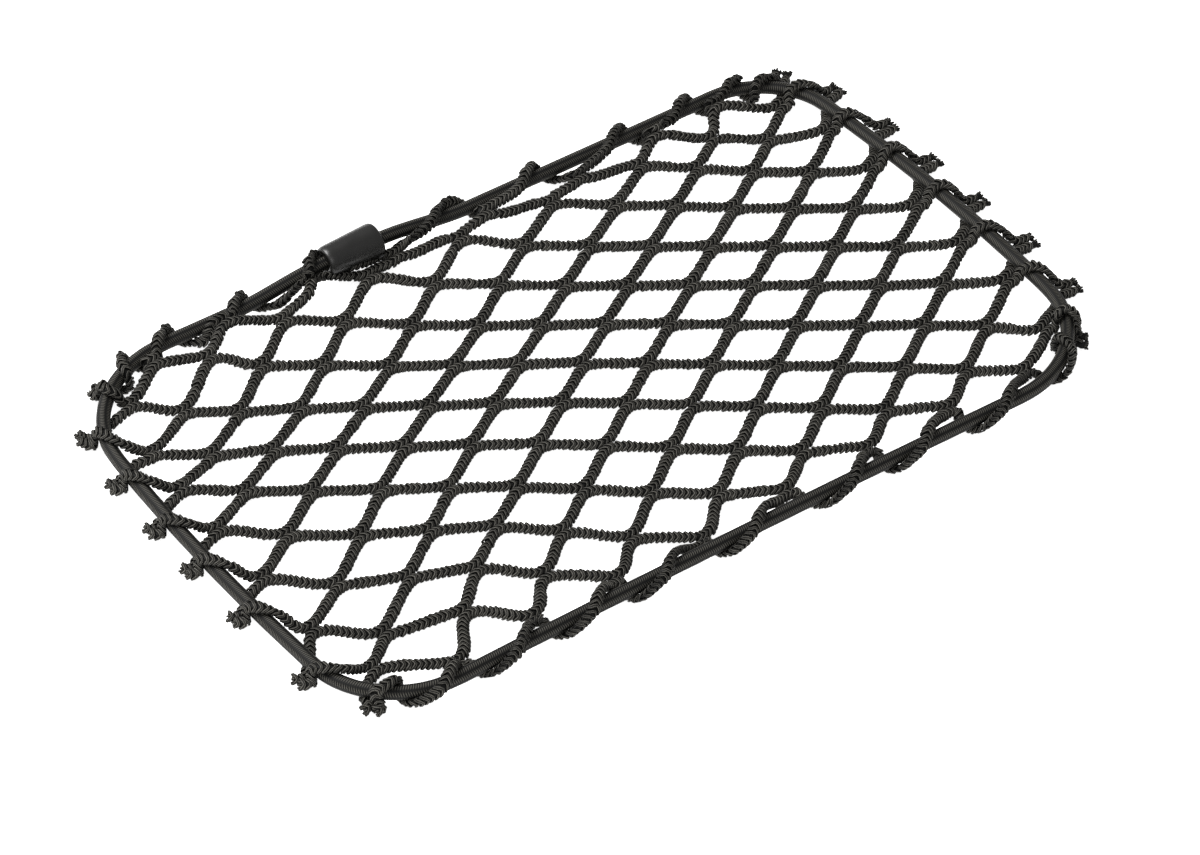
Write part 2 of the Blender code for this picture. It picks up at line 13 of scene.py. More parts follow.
import bpy
import numpy as np
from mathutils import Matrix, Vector

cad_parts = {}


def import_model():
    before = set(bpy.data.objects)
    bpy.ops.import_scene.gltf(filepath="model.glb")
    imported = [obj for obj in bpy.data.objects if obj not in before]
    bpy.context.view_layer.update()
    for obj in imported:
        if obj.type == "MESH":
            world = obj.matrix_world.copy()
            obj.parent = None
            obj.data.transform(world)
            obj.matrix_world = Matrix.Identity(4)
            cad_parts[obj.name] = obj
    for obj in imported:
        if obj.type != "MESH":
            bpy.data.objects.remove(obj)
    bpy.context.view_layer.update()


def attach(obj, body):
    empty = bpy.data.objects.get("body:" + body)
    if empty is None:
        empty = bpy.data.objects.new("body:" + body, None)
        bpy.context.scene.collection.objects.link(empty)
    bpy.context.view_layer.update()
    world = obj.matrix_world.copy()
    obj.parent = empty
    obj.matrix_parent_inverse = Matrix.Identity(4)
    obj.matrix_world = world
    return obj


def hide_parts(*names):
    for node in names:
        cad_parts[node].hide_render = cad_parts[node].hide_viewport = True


LOG = logging.getLogger("net_pocket")

MM = 0.001
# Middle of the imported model's plan box, measured from the middle of the rim.
BOX_MIDDLE = np.array((3.961, 0.335, 0.0))
UP = np.array((0.0, 0.0, 1.0))

Node = tuple[int, int]
Plan = tuple[float, float]
Spot = tuple[float, float, float]


# --- small tools ---


def to_linear(code: str) -> tuple[float, float, float, float]:
    """Turn an sRGB hex colour into linear light.

    Args:
        code: colour as "#rrggbb".

    Returns:
        Linear red, green, blue and an alpha of 1.
    """
    shares = [int(code[start:start + 2], 16) / 255.0 for start in (1, 3, 5)]
    linear = [
        share / 12.92 if share <= 0.04045 else ((share + 0.055) / 1.055) ** 2.4 for share in shares
    ]
    return (linear[0], linear[1], linear[2], 1.0)


def add_node(
    tree: bpy.types.NodeTree,
    kind: str,
    settings: dict[str, Any],
    values: dict[Any, Any],
    links: dict[Any, bpy.types.NodeSocket],
) -> bpy.types.Node:
    """Add one node with its settings, socket values and incoming links.

    Args:
        tree: node tree that gets the node.
        kind: Blender's name of the node type.
        settings: node properties by name.
        values: socket values by socket name or number.
        links: sockets that feed this node, by input name or number.

    Returns:
        The new node.
    """
    node = tree.nodes.new(kind)
    for name, value in settings.items():
        setattr(node, name, value)
    for name, value in values.items():
        node.inputs[name].default_value = value
    for name, socket in links.items():
        tree.links.new(socket, node.inputs[name])
    return node


def placed(name: str, data: Any) -> bpy.types.Object:
    """Make the object of a mesh, a light or a camera and put it in the scene.

    Args:
        name: name of the object.
        data: its mesh, light or camera.

    Returns:
        The object.
    """
    item = bpy.data.objects.new(name, data)
    bpy.context.collection.objects.link(item)
    return item


def smooth(value: np.ndarray | float) -> np.ndarray | float:
    """Ease a value clamped to 0..1."""
    value = np.clip(value, 0.0, 1.0)
    return value * value * (3.0 - 2.0 * value)


def unit(vectors: np.ndarray) -> np.ndarray:
    """Scale vectors on the last axis to length 1."""
    sizes = np.linalg.norm(vectors, axis=-1, keepdims=True)
    return vectors / np.maximum(sizes, 1e-9)


def running_length(places: np.ndarray) -> np.ndarray:
    """Length along a path at each of its points."""
    spans = np.linalg.norm(np.diff(places, axis=0), axis=1)
    return np.concatenate(([0.0], np.cumsum(spans)))


def read_rows(at: np.ndarray, marks: np.ndarray, table: np.ndarray) -> np.ndarray:
    """Interpolate the three columns of a table whose rows stand at marks."""
    return np.column_stack([np.interp(at, marks, table[:, axis]) for axis in range(3)])


def ring_points(
    middles: np.ndarray,
    first: np.ndarray,
    second: np.ndarray,
    halves: tuple[np.ndarray, np.ndarray],
    angles: np.ndarray,
) -> np.ndarray:
    """Points of the ellipses that a path carries.

    Args:
        middles: middles of the ellipses.
        first: direction of the first axis at each middle.
        second: direction of the second axis.
        halves: half sizes along the two axes, with a last axis for the angles.
        angles: angles of the points, from the first axis towards the second.

    Returns:
        Points, with one more axis than the middles.
    """
    return (
        middles[..., None, :]
        + first[..., None, :] * (halves[0] * np.cos(angles))[..., None]
        + second[..., None, :] * (halves[1] * np.sin(angles))[..., None]
    )


# --- rim: the closed path of the elastic cord ---


@dataclass
class Rim:
    """Path of the elastic cord, measured by length the left-hand way round."""

    half_length: float = 170.9
    half_width: float = 109.0
    # (x side, y side, radius, first angle in degrees)
    corners: tuple[tuple[int, int, float, float], ...] = (
        (1, 1, 30.7, 0.0),
        (-1, 1, 45.9, 90.0),
        (-1, -1, 35.1, 180.0),
        (1, -1, 44.8, 270.0),
    )
    bow_right: float = 6.6
    bow_left: float = 5.7
    bow_back: float = -0.3
    bow_front: float = -1.8
    corner_steps: int = 7
    side_step: float = 11.0
    cord_radius: float = 2.85
    cord_height: float = 5.35
    sleeve_x: float = -39.0
    sleeve_height: float = 9.7
    sleeve_half_length: float = 12.3
    sleeve_rise_length: float = 44.0
    sample_step: float = 1.0
    # samples ahead and behind that give the path's direction
    way_reach: int = 4

    stations: np.ndarray = field(init=False)
    places: np.ndarray = field(init=False)
    outs: np.ndarray = field(init=False)
    total: float = field(init=False)

    def __post_init__(self) -> None:
        """Sample the closed path evenly."""
        coarse = self.closed_plan()
        start = int(np.argmin(np.abs(coarse[:, 1]) - coarse[:, 0]))
        coarse = np.roll(coarse, -start, axis=0)
        marks = running_length(np.vstack((coarse, coarse[:1])))
        self.total = float(marks[-1])
        count = int(self.total / self.sample_step)
        wanted = np.arange(count) * self.total / count
        plan = self.rounded(coarse, marks, wanted)
        self.stations = wanted + coarse[0, 1]
        ahead, behind = (np.roll(plan, shift, axis=0) for shift in (-self.way_reach, self.way_reach))
        ways = unit(ahead - behind)
        self.outs = np.stack((ways[:, 1], -ways[:, 0], np.zeros(count)), axis=1)
        # the cord rises to the sleeve on the back side
        gap = np.abs(plan[:, 0] - self.sleeve_x) - self.sleeve_half_length
        rise = (self.sleeve_height - self.cord_height) * (1.0 - smooth(gap / self.sleeve_rise_length))
        heights = self.cord_height + np.where(plan[:, 1] > 0.0, rise, 0.0)
        self.places = np.column_stack((plan, heights))

    def closed_plan(self) -> np.ndarray:
        """Coarse points of a rounded rectangle with bowed sides.

        Returns:
            Plan points, without the first one again.
        """
        bends = []
        for side_x, side_y, radius, first_angle in self.corners:
            for step in range(self.corner_steps + 1):
                angle = math.radians(first_angle + 90.0 * step / self.corner_steps)
                x = side_x * (self.half_length - radius) + radius * math.cos(angle)
                y = side_y * (self.half_width - radius) + radius * math.sin(angle)
                bends.append((x, y))
        points = []
        for first, second in zip(bends, bends[1:] + bends[:1]):
            count = max(1, int(math.dist(first, second) / self.side_step))
            for share in np.arange(count) / count:
                points.append([near + (far - near) * share for near, far in zip(first, second)])
        x, y = np.array(points).T
        along, across = x / self.half_length, y / self.half_width
        bow_x = np.where(along > 0, self.bow_right, self.bow_left) * along
        bow_y = np.where(across > 0, self.bow_back, self.bow_front) * across
        return np.column_stack((x + bow_x * (1.0 - across ** 2), y + bow_y * (1.0 - along ** 2)))

    @staticmethod
    def rounded(coarse: np.ndarray, marks: np.ndarray, wanted: np.ndarray) -> np.ndarray:
        """Read a closed Catmull-Rom curve through coarse points.

        Args:
            coarse: plan points of the closed path.
            marks: length along the path at each point, and at the first one again.
            wanted: lengths to read.

        Returns:
            Plan points at the wanted lengths.
        """
        count = len(coarse)
        index = np.clip(np.searchsorted(marks, wanted, side="right") - 1, 0, count - 1)
        share = ((wanted - marks[index]) / (marks[index + 1] - marks[index]))[:, None]
        before, first, second, after = (coarse[(index + step) % count] for step in (-1, 0, 1, 2))
        return 0.5 * (
            2.0 * first
            + (second - before) * share
            + (2.0 * before - 5.0 * first + 4.0 * second - after) * share ** 2
            + (3.0 * first - before - 3.0 * second + after) * share ** 3
        )

    def seat(self) -> int:
        """Number of the sample in the middle of the sleeve."""
        gaps = np.abs(self.places[:, 0] - self.sleeve_x)
        return int(np.argmin(np.where(self.places[:, 1] > 0.0, gaps, np.inf)))

    def nearest(self, points: np.ndarray) -> tuple[np.ndarray, np.ndarray]:
        """Find the nearest sample of the path for each point.

        Args:
            points: any points, one a row.

        Returns:
            Signed plan distance, positive outside the rim, and the sample's number.
        """
        gaps = points[:, None, :2] - self.places[None, :, :2]
        index = np.argmin(np.einsum("ijk,ijk->ij", gaps, gaps), axis=1)
        gap = points[:, :2] - self.places[index, :2]
        return np.einsum("ij,ij->i", gap, self.outs[index, :2]), index

    def centre(self, station: float) -> tuple[np.ndarray, np.ndarray]:
        """Centre of the cord and its outward direction at a station.

        Args:
            station: length along the path.

        Returns:
            The centre and the direction.
        """
        place = (station - self.stations[0]) % self.total
        number = place / self.total * len(self.places)
        first = int(number) % len(self.places)
        second = (first + 1) % len(self.places)
        share = number - int(number)
        centre = self.places[first] * (1.0 - share) + self.places[second] * share
        return centre, unit(self.outs[first] * (1.0 - share) + self.outs[second] * share)

    def around(self, station: float, angle: float, radius: float) -> np.ndarray:
        """Point around the cord.

        Args:
            station: length along the path.
            angle: 0 degrees outside, 90 on top, 180 inside.
            radius: distance from the cord's centreline.

        Returns:
            The point.
        """
        centre, out = self.centre(station)
        turn = math.radians(angle)
        return centre + radius * (math.cos(turn) * out + math.sin(turn) * UP)


# --- layout of the net and of its lacing ---


class Edge(Enum):
    """Side of the rim in the order of the lacing: its step inwards and the lacing's step."""

    RIGHT = ((-1, 0), (0, 1))
    BACK = ((0, -1), (-1, 0))
    LEFT = ((1, 0), (0, -1))
    FRONT = ((0, 1), (1, 0))


@dataclass(frozen=True)
class Waypoint:
    """Point that a net cord passes, and the way it runs there if that is set."""

    place: np.ndarray
    way: Optional[np.ndarray] = None


def reversed_way(points: Sequence[Waypoint]) -> list[Waypoint]:
    """The same waypoints for a cord that runs the other way."""
    return [Waypoint(stop.place, None if stop.way is None else -stop.way) for stop in reversed(points)]


@dataclass
class LacedMesh:
    """Edge mesh of the net on the cord: its stations along the cord and its cut tail."""

    name: Node
    edge: Edge
    station: float
    under: float
    over: float
    # where the tail's two cords join outside the cord, and the tail's length from there
    reach: float = 0.0
    tail: float = 0.0


@dataclass
class NetLayout:
    """Where the nodes of the net lie and how its cords pass them and the rim."""

    rim: Rim
    first_column: int = -10
    last_column: int = 8
    first_row: int = -10
    last_row: int = 6
    # a node's place in the net is (column + 1) / 8 by (row + 2) / 7
    drift_shift: Node = (1, 2)
    drift_scale: Plan = (8.0, 7.0)
    # (power of the first place, power of the second, x share, y share)
    drift: tuple[tuple[int, int, float, float], ...] = (
        (0, 0, 4.3, 9.2),
        (0, 1, 1.4, 100.1),
        (0, 2, -3.8, -10.9),
        (0, 3, -2.9, -4.3),
        (1, 0, 170.9, 2.5),
        (1, 1, -2.1, 0.0),
        (1, 2, -10.4, 3.6),
        (2, 0, -1.7, 0.2),
        (2, 1, 1.7, 3.3),
        (3, 0, -4.6, -2.5),
    )
    # where the lacing draws the net: (column, row, reach in meshes, x pull, y pull)
    pulls: tuple[tuple[int, int, float, float, float], ...] = (
        (4, 5, 3.0, 4.6, -0.5),
        (-4, 4, 1.5, 0.6, 5.5),
        (-6, -7, 1.5, 4.6, 7.6),
        (-1, 4, 1.5, 1.7, 9.1),
        (-8, 5, 1.5, 5.3, 6.9),
        (-8, -9, 1.5, 8.2, 3.4),
        (3, 4, 1.5, 6.9, 5.8),
        (-5, 4, 1.5, -0.7, 6.8),
        (-8, -6, 1.5, -3.2, -4.2),
        (4, -2, 4.0, -4.7, -3.2),
        (-7, -5, 1.5, 4.4, -0.4),
        (7, -6, 1.5, 4.1, 2.2),
        (-9, 2, 1.5, -2.5, -4.7),
        (-3, -4, 2.0, 2.5, 1.2),
    )
    # nodes that the lacing seats closer to the cord or lifts on its shoulder
    seated: dict[Node, Spot] = field(
        default_factory=lambda: {
            (-8, 5): (-134.8, 100.2, 7.0),
            (-6, 5): (-101.3, 103.4, 8.5),
            (-4, 5): (-62.7, 103.9, 8.5),
            (-2, 5): (-22.6, 101.1, 5.0),
            (0, 5): (20.7, 100.3, 7.0),
            (2, 5): (65.0, 99.0, 5.0),
            (4, 5): (104.9, 101.5, 7.0),
            (6, 5): (136.5, 102.3, 7.0),
            (-7, 4): (-114.6, 93.1, 4.0),
            (-3, 4): (-37.3, 97.4, 3.6),
            (-1, 4): (4.8, 96.0, 3.6),
            (1, 4): (47.6, 93.1, 3.6),
            (-8, -9): (-128.3, -99.6, 1.8),
            (-2, -9): (-18.0, -98.6, 1.8),
            (-8, -7): (-141.9, -70.8, 1.6),
            (-7, -8): (-111.9, -78.7, 1.6),
            (7, 2): (165.8, 65.4, 4.0),
        }
    )
    # a node's own turn in degrees, where a tight leg twists it
    node_turns: dict[Node, float] = field(default_factory=lambda: {(-4, 5): 30.0})
    # tails on the cut short sides: (station, reach outside the cord, length)
    right_tails: tuple[Spot, ...] = (
        (-93.0, 5.0, 3.4),
        (-65.5, 8.1, 6.2),
        (-35.3, 9.1, 6.9),
        (-4.1, 7.6, 7.8),
        (26.1, 8.6, 7.2),
        (54.0, 10.4, 6.0),
        (83.0, 9.5, 6.0),
        (101.0, 9.1, 6.4),
    )
    left_tails: tuple[Spot, ...] = (
        (427.5, 5.5, 4.2),
        (452.8, 5.5, 6.4),
        (479.0, 5.5, 4.4),
        (508.0, 5.5, 4.4),
        (534.0, 5.5, 4.2),
        (565.5, 5.5, 4.2),
        (605.5, 5.5, 4.4),
        (631.0, 5.5, 2.8),
    )
    # stations of the loops on the long sides
    back_loops: tuple[float, ...] = (115.0, 140.5, 173.5, 217.0, 260.5, 322.0, 356.6, 390.5, 412.0)
    front_loops: tuple[float, ...] = (648.5, 681.0, 714.0, 747.0, 788.0, 834.5, 867.5, 907.0, 951.0)
    # how far before its station a mesh goes under the cord, and how far past it comes over
    lags: dict[Edge, Plan] = field(
        default_factory=lambda: {
            Edge.RIGHT: (6.0, 11.0),
            Edge.BACK: (5.6, 4.6),
            Edge.LEFT: (5.0, 4.6),
            Edge.FRONT: (8.4, 9.0),
        }
    )
    # how far a tail leans towards the back for each mm outwards
    tail_slants: dict[Edge, float] = field(
        default_factory=lambda: {Edge.RIGHT: 0.0, Edge.LEFT: 1.0}
    )
    # a tail's upper cord lies this much over the lower one, and the yarn ends pass its cut
    tail_rise: float = 0.8
    fray_reach: float = 0.6
    # a loop that lies along the cord instead of crossing it: its extra length
    long_loops: dict[Node, float] = field(default_factory=lambda: {(-1, 6): 7.0})
    least_spacing: float = 6.4
    spread_rounds: int = 400
    least_ring_gap: float = 8.8
    push_rounds: int = 6
    # half the distance between two cords side by side, what it widens by at the ends of
    # their run at a node, half that run, and how the cords splay there
    side_gap: float = 2.15
    side_widening: float = 0.28
    side_run: float = 2.3
    side_splay: float = 0.42
    flat_height: float = 1.85
    ring_lift: float = 2.0
    lift_start: float = -24.0
    lift_full: float = -13.0
    lean_share: float = 0.5
    most_lean: float = 6.0
    corner_lean: float = 3.0
    # radius of a net cord's centreline where it is wound on the elastic cord
    wound_radius: float = 4.4
    # a leg's waypoints on the cord: (shift along it, share of the lean, degrees round it,
    # extra radius), from the inside outwards under it and from the outside inwards over it
    under_stops: tuple[tuple[float, float, float, float], ...] = (
        (0.0, 1.0, -150.0, 1.0),
        (0.8, 0.25, -90.0, -0.3),
        (2.6, 0.0, -34.0, 0.0),
    )
    over_stops: tuple[tuple[float, float, float, float], ...] = (
        (-3.6, 0.0, 38.0, 0.1),
        (-0.4, 0.2, 88.0, 0.0),
        (0.0, 1.0, 142.0, 0.4),
    )
    # outermost point of a loop: (degrees round the cord, extra radius)
    loop_crowns: dict[Edge, Plan] = field(
        default_factory=lambda: {Edge.BACK: (22.0, 1.0), Edge.FRONT: (6.0, 0.0)}
    )
    dip_angle: float = 185.0
    # where a bar makes for at the rim: outside the cord's centreline, over and under it
    over_aim: float = -2.4
    under_aim: float = -4.2
    aim_height: float = 4.0
    nodes: dict[Node, np.ndarray] = field(init=False)
    axes: dict[Node, np.ndarray] = field(init=False)
    meshes: dict[Node, LacedMesh] = field(init=False)

    def __post_init__(self) -> None:
        """Place every node and every laced mesh."""
        self.meshes = {mesh.name: mesh for mesh in self.laced()}
        columns = range(self.first_column + 1, self.last_column)
        rows = range(self.first_row + 1, self.last_row)
        names = [(column, row) for column in columns for row in rows if (column + row) % 2]
        self.nodes = {name: self.node_place(name) for name in names}
        self.axes = {name: self.node_axis(name) for name in self.nodes}

    def node_place(self, name: Node) -> np.ndarray:
        """Place of an inner node of the laced net.

        Args:
            name: the node's column and row.

        Returns:
            The node's middle.
        """
        if name in self.seated:
            return np.array(self.seated[name])
        along, across = (
            (step + shift) / scale
            for step, shift, scale in zip(name, self.drift_shift, self.drift_scale)
        )
        place = np.zeros(3)
        for power_x, power_y, share_x, share_y in self.drift:
            term = along ** power_x * across ** power_y
            place[:2] += (share_x * term, share_y * term)
        for column, row, reach, pull_x, pull_y in self.pulls:
            square = (name[0] - column) ** 2 + (name[1] - row) ** 2
            weight = math.exp(-square / (2.0 * reach * reach))
            place[:2] += (pull_x * weight, pull_y * weight)
        for _ in range(self.push_rounds):
            gap, index = self.rim.nearest(place[None, :])
            if gap[0] <= -self.least_ring_gap:
                break
            place -= self.rim.outs[index[0]] * (gap[0] + self.least_ring_gap)
        gap, _ = self.rim.nearest(place[None, :])
        rise = smooth((gap[0] - self.lift_start) / (self.lift_full - self.lift_start))
        place[2] = self.flat_height + self.ring_lift * float(rise)
        return place

    def node_axis(self, name: Node) -> np.ndarray:
        """Direction of the two cords where they lie side by side at a node.

        Args:
            name: the node.

        Returns:
            The level direction, to the right.
        """
        column, row = name
        way = np.zeros(3)
        for step in (1, -1):
            for rise in (1, -1):
                target = self.target((column + step, row + rise), step, rise)
                way += unit(target - self.nodes[name]) * step
        way[2] = 0.0
        turn = math.radians(self.node_turns.get(name, 0.0))
        cosine, sine = math.cos(turn), math.sin(turn)
        x, y, _ = unit(way)
        return np.array((x * cosine - y * sine, x * sine + y * cosine, 0.0))

    def target(self, name: Node, step: int, rise: int) -> np.ndarray:
        """Where a bar towards a node or a laced mesh makes for.

        Args:
            name: node or laced mesh at the bar's far end.
            step: 1 where the bar runs to the right, -1 to the left.
            rise: 1 where the bar runs to the back, -1 to the front.

        Returns:
            The far node's middle or a point beside the cord.
        """
        if name in self.nodes:
            return self.nodes[name]
        mesh = self.meshes[name]
        lace_x, lace_y = mesh.edge.value[1]
        # a bar that comes against the lacing's order goes over the cord
        over = step * lace_x + rise * lace_y < 0
        centre, out = self.rim.centre(mesh.over if over else mesh.under)
        place = centre + out * (self.over_aim if over else self.under_aim)
        place[2] = self.aim_height
        return place

    def laced(self) -> list[LacedMesh]:
        """Lace the edge meshes, their crossings spread along the cord.

        Returns:
            The edge meshes in the order of the lacing.
        """
        columns = range(self.last_column - 1, self.first_column, -2)
        rows = range(self.first_row + 1, self.last_row, 2)
        sides = (
            (Edge.RIGHT, [(self.last_column, row) for row in rows], self.right_tails),
            (Edge.BACK, [(column, self.last_row) for column in columns], self.back_loops),
            (Edge.LEFT, [(self.first_column, row) for row in reversed(rows)], self.left_tails),
            (Edge.FRONT, [(column, self.first_row) for column in reversed(columns)], self.front_loops),
        )
        meshes = []
        for edge, names, places in sides:
            before, after = self.lags[edge]
            for name, place in zip(names, places):
                # a tail has its reach and length too, a loop has its station alone
                station, *outside = np.atleast_1d(place)
                under = station - before - self.long_loops.get(name, 0.0)
                meshes.append(LacedMesh(name, edge, station, under, station + after, *outside))
        crossings = [place for mesh in meshes for place in (mesh.under, mesh.over)]
        for _ in range(self.spread_rounds):
            for index in range(len(crossings)):
                after = (index + 1) % len(crossings)
                turn = self.rim.total if after == 0 else 0.0
                short = self.least_spacing - (crossings[after] + turn - crossings[index])
                if short > 0.0:
                    crossings[index] -= short / 2.0
                    crossings[after] += short / 2.0
        for mesh, under, over in zip(meshes, crossings[::2], crossings[1::2]):
            mesh.under, mesh.over = under, over
        return meshes

    def passing(self, name: Node, side: int) -> list[Waypoint]:
        """Waypoints of a cord beside its neighbour at a node.

        Args:
            name: the node.
            side: 1 for the cord on the back side of the node, -1 for the front one.

        Returns:
            Two waypoints, left and right of the node's middle.
        """
        middle, along = self.nodes[name], self.axes[name]
        across = np.array((-along[1], along[0], 0.0)) * side
        points = []
        for end in (-1, 1):
            aside = across * (self.side_gap + self.side_widening)
            place = middle + along * self.side_run * end + aside
            points.append(Waypoint(place, unit(along + across * self.side_splay * end)))
        return points

    def lean(self, mesh: LacedMesh, order: int) -> float:
        """How far along the cord a crossing leans towards its node.

        Args:
            mesh: the laced mesh.
            order: 1 for the leg over the cord, -1 for the leg under it.

        Returns:
            The lean in mm, the left-hand way round.
        """
        steps = zip(mesh.name, *mesh.edge.value)
        name = tuple(place + inwards + lace * order for place, inwards, lace in steps)
        if name not in self.nodes:
            return self.corner_lean * order
        _, index = self.rim.nearest(self.nodes[name][None, :])
        crossing = mesh.over if order > 0 else mesh.under
        half = self.rim.total / 2.0
        ahead = (self.rim.stations[index[0]] - crossing + half) % self.rim.total - half
        return float(np.clip(self.lean_share * ahead, -self.most_lean, self.most_lean))

    def leg(self, mesh: LacedMesh, order: int) -> list[Waypoint]:
        """Waypoints of a mesh's leg on the cord.

        Args:
            mesh: the laced mesh.
            order: 1 for the leg over the cord, -1 for the leg under it.

        Returns:
            Waypoints in the lacing's order: outwards under the cord, inwards over it.
        """
        lean = self.lean(mesh, order)
        crossing, stops = (mesh.over, self.over_stops) if order > 0 else (mesh.under, self.under_stops)
        return [
            Waypoint(self.rim.around(crossing + share * lean + shift, angle, self.wound_radius + more))
            for shift, share, angle, more in stops
        ]

    def loop(self, mesh: LacedMesh) -> list[Waypoint]:
        """Waypoints of an edge mesh wound once round the cord.

        Args:
            mesh: laced mesh of a long side.

        Returns:
            Waypoints from left to right, with the dip into a corner that follows.
        """
        angle, more = self.loop_crowns[mesh.edge]
        middle = (mesh.under + mesh.over) / 2.0
        outer = Waypoint(self.rim.around(middle, angle, self.wound_radius + more))
        points = self.leg(mesh, -1) + [outer] + self.leg(mesh, 1)
        if mesh.edge is Edge.BACK:
            points = reversed_way(points)
        if mesh.name[0] == self.first_column + 1:
            points = [self.corner_dip(mesh, self.first_column)] + points
        if mesh.name[0] == self.last_column - 1:
            points = points + [self.corner_dip(mesh, self.last_column)]
        return points

    def corner_dip(self, mesh: LacedMesh, column: int) -> Waypoint:
        """Waypoint inside a corner of the rim, between its last loop and the tail beside it.

        Args:
            mesh: laced mesh of the loop.
            column: column of the tail.

        Returns:
            The waypoint.
        """
        row = self.last_row - 1 if mesh.edge is Edge.BACK else self.first_row + 1
        first, second = mesh, self.meshes[(column, row)]
        if (mesh.edge is Edge.BACK) != (column == self.first_column):
            first, second = second, first
        turn = self.rim.total if second.under < first.over else 0.0
        between = (first.over + second.under + turn) / 2.0
        return Waypoint(self.rim.around(between, self.dip_angle, self.wound_radius))

    def tail(self, mesh: LacedMesh, order: int) -> list[Waypoint]:
        """Waypoints of a cut cord outside the rim.

        Args:
            mesh: laced mesh of a short side.
            order: -1 for the cord that comes from under the elastic, 1 for the other.

        Returns:
            Waypoints from the join of the two cords to the cut end.
        """
        rise = self.tail_rise if order > 0 else 0.0
        middle, out = self.rim.centre(mesh.station)
        along = np.array((-out[1], out[0], 0.0))
        way = unit(out - along * self.tail_slants[mesh.edge])
        join = middle + out * mesh.reach + along * (self.side_gap * order)
        cut = join + way * (mesh.tail - self.fray_reach)
        join[2], cut[2] = self.flat_height + rise, self.flat_height + 0.5 * rise
        return [Waypoint(join, unit(out + way)), Waypoint(cut, way)]

    def cut_end(self, row: int, column: int) -> list[Waypoint]:
        """Waypoints of a cord's cut end.

        Args:
            row: row of nodes in front of the cord.
            column: first or last column of the net.

        Returns:
            Waypoints from the inside of the rim to the cut.
        """
        odd = row % 2 == 1
        order = 1 if odd == (column == self.last_column) else -1
        mesh = self.meshes[(column, row if odd else row + 1)]
        leg = self.leg(mesh, order)
        return (reversed_way(leg) if order > 0 else leg) + self.tail(mesh, order)

    def cord_waypoints(self, row: int) -> list[Waypoint]:
        """Waypoints of the net cord between a row of nodes and the row behind it.

        Args:
            row: row of nodes in front of the cord.

        Returns:
            Waypoints from the left cut end to the right one.
        """
        points = reversed_way(self.cut_end(row, self.first_column))
        for column in range(self.first_column + 1, self.last_column):
            in_front = (column + row) % 2 == 1
            name = (column, row if in_front else row + 1)
            if name in self.nodes:
                points += self.passing(name, 1 if in_front else -1)
            else:
                points += self.loop(self.meshes[name])
        return points + self.cut_end(row, self.last_column)


# --- strands and meshes ---


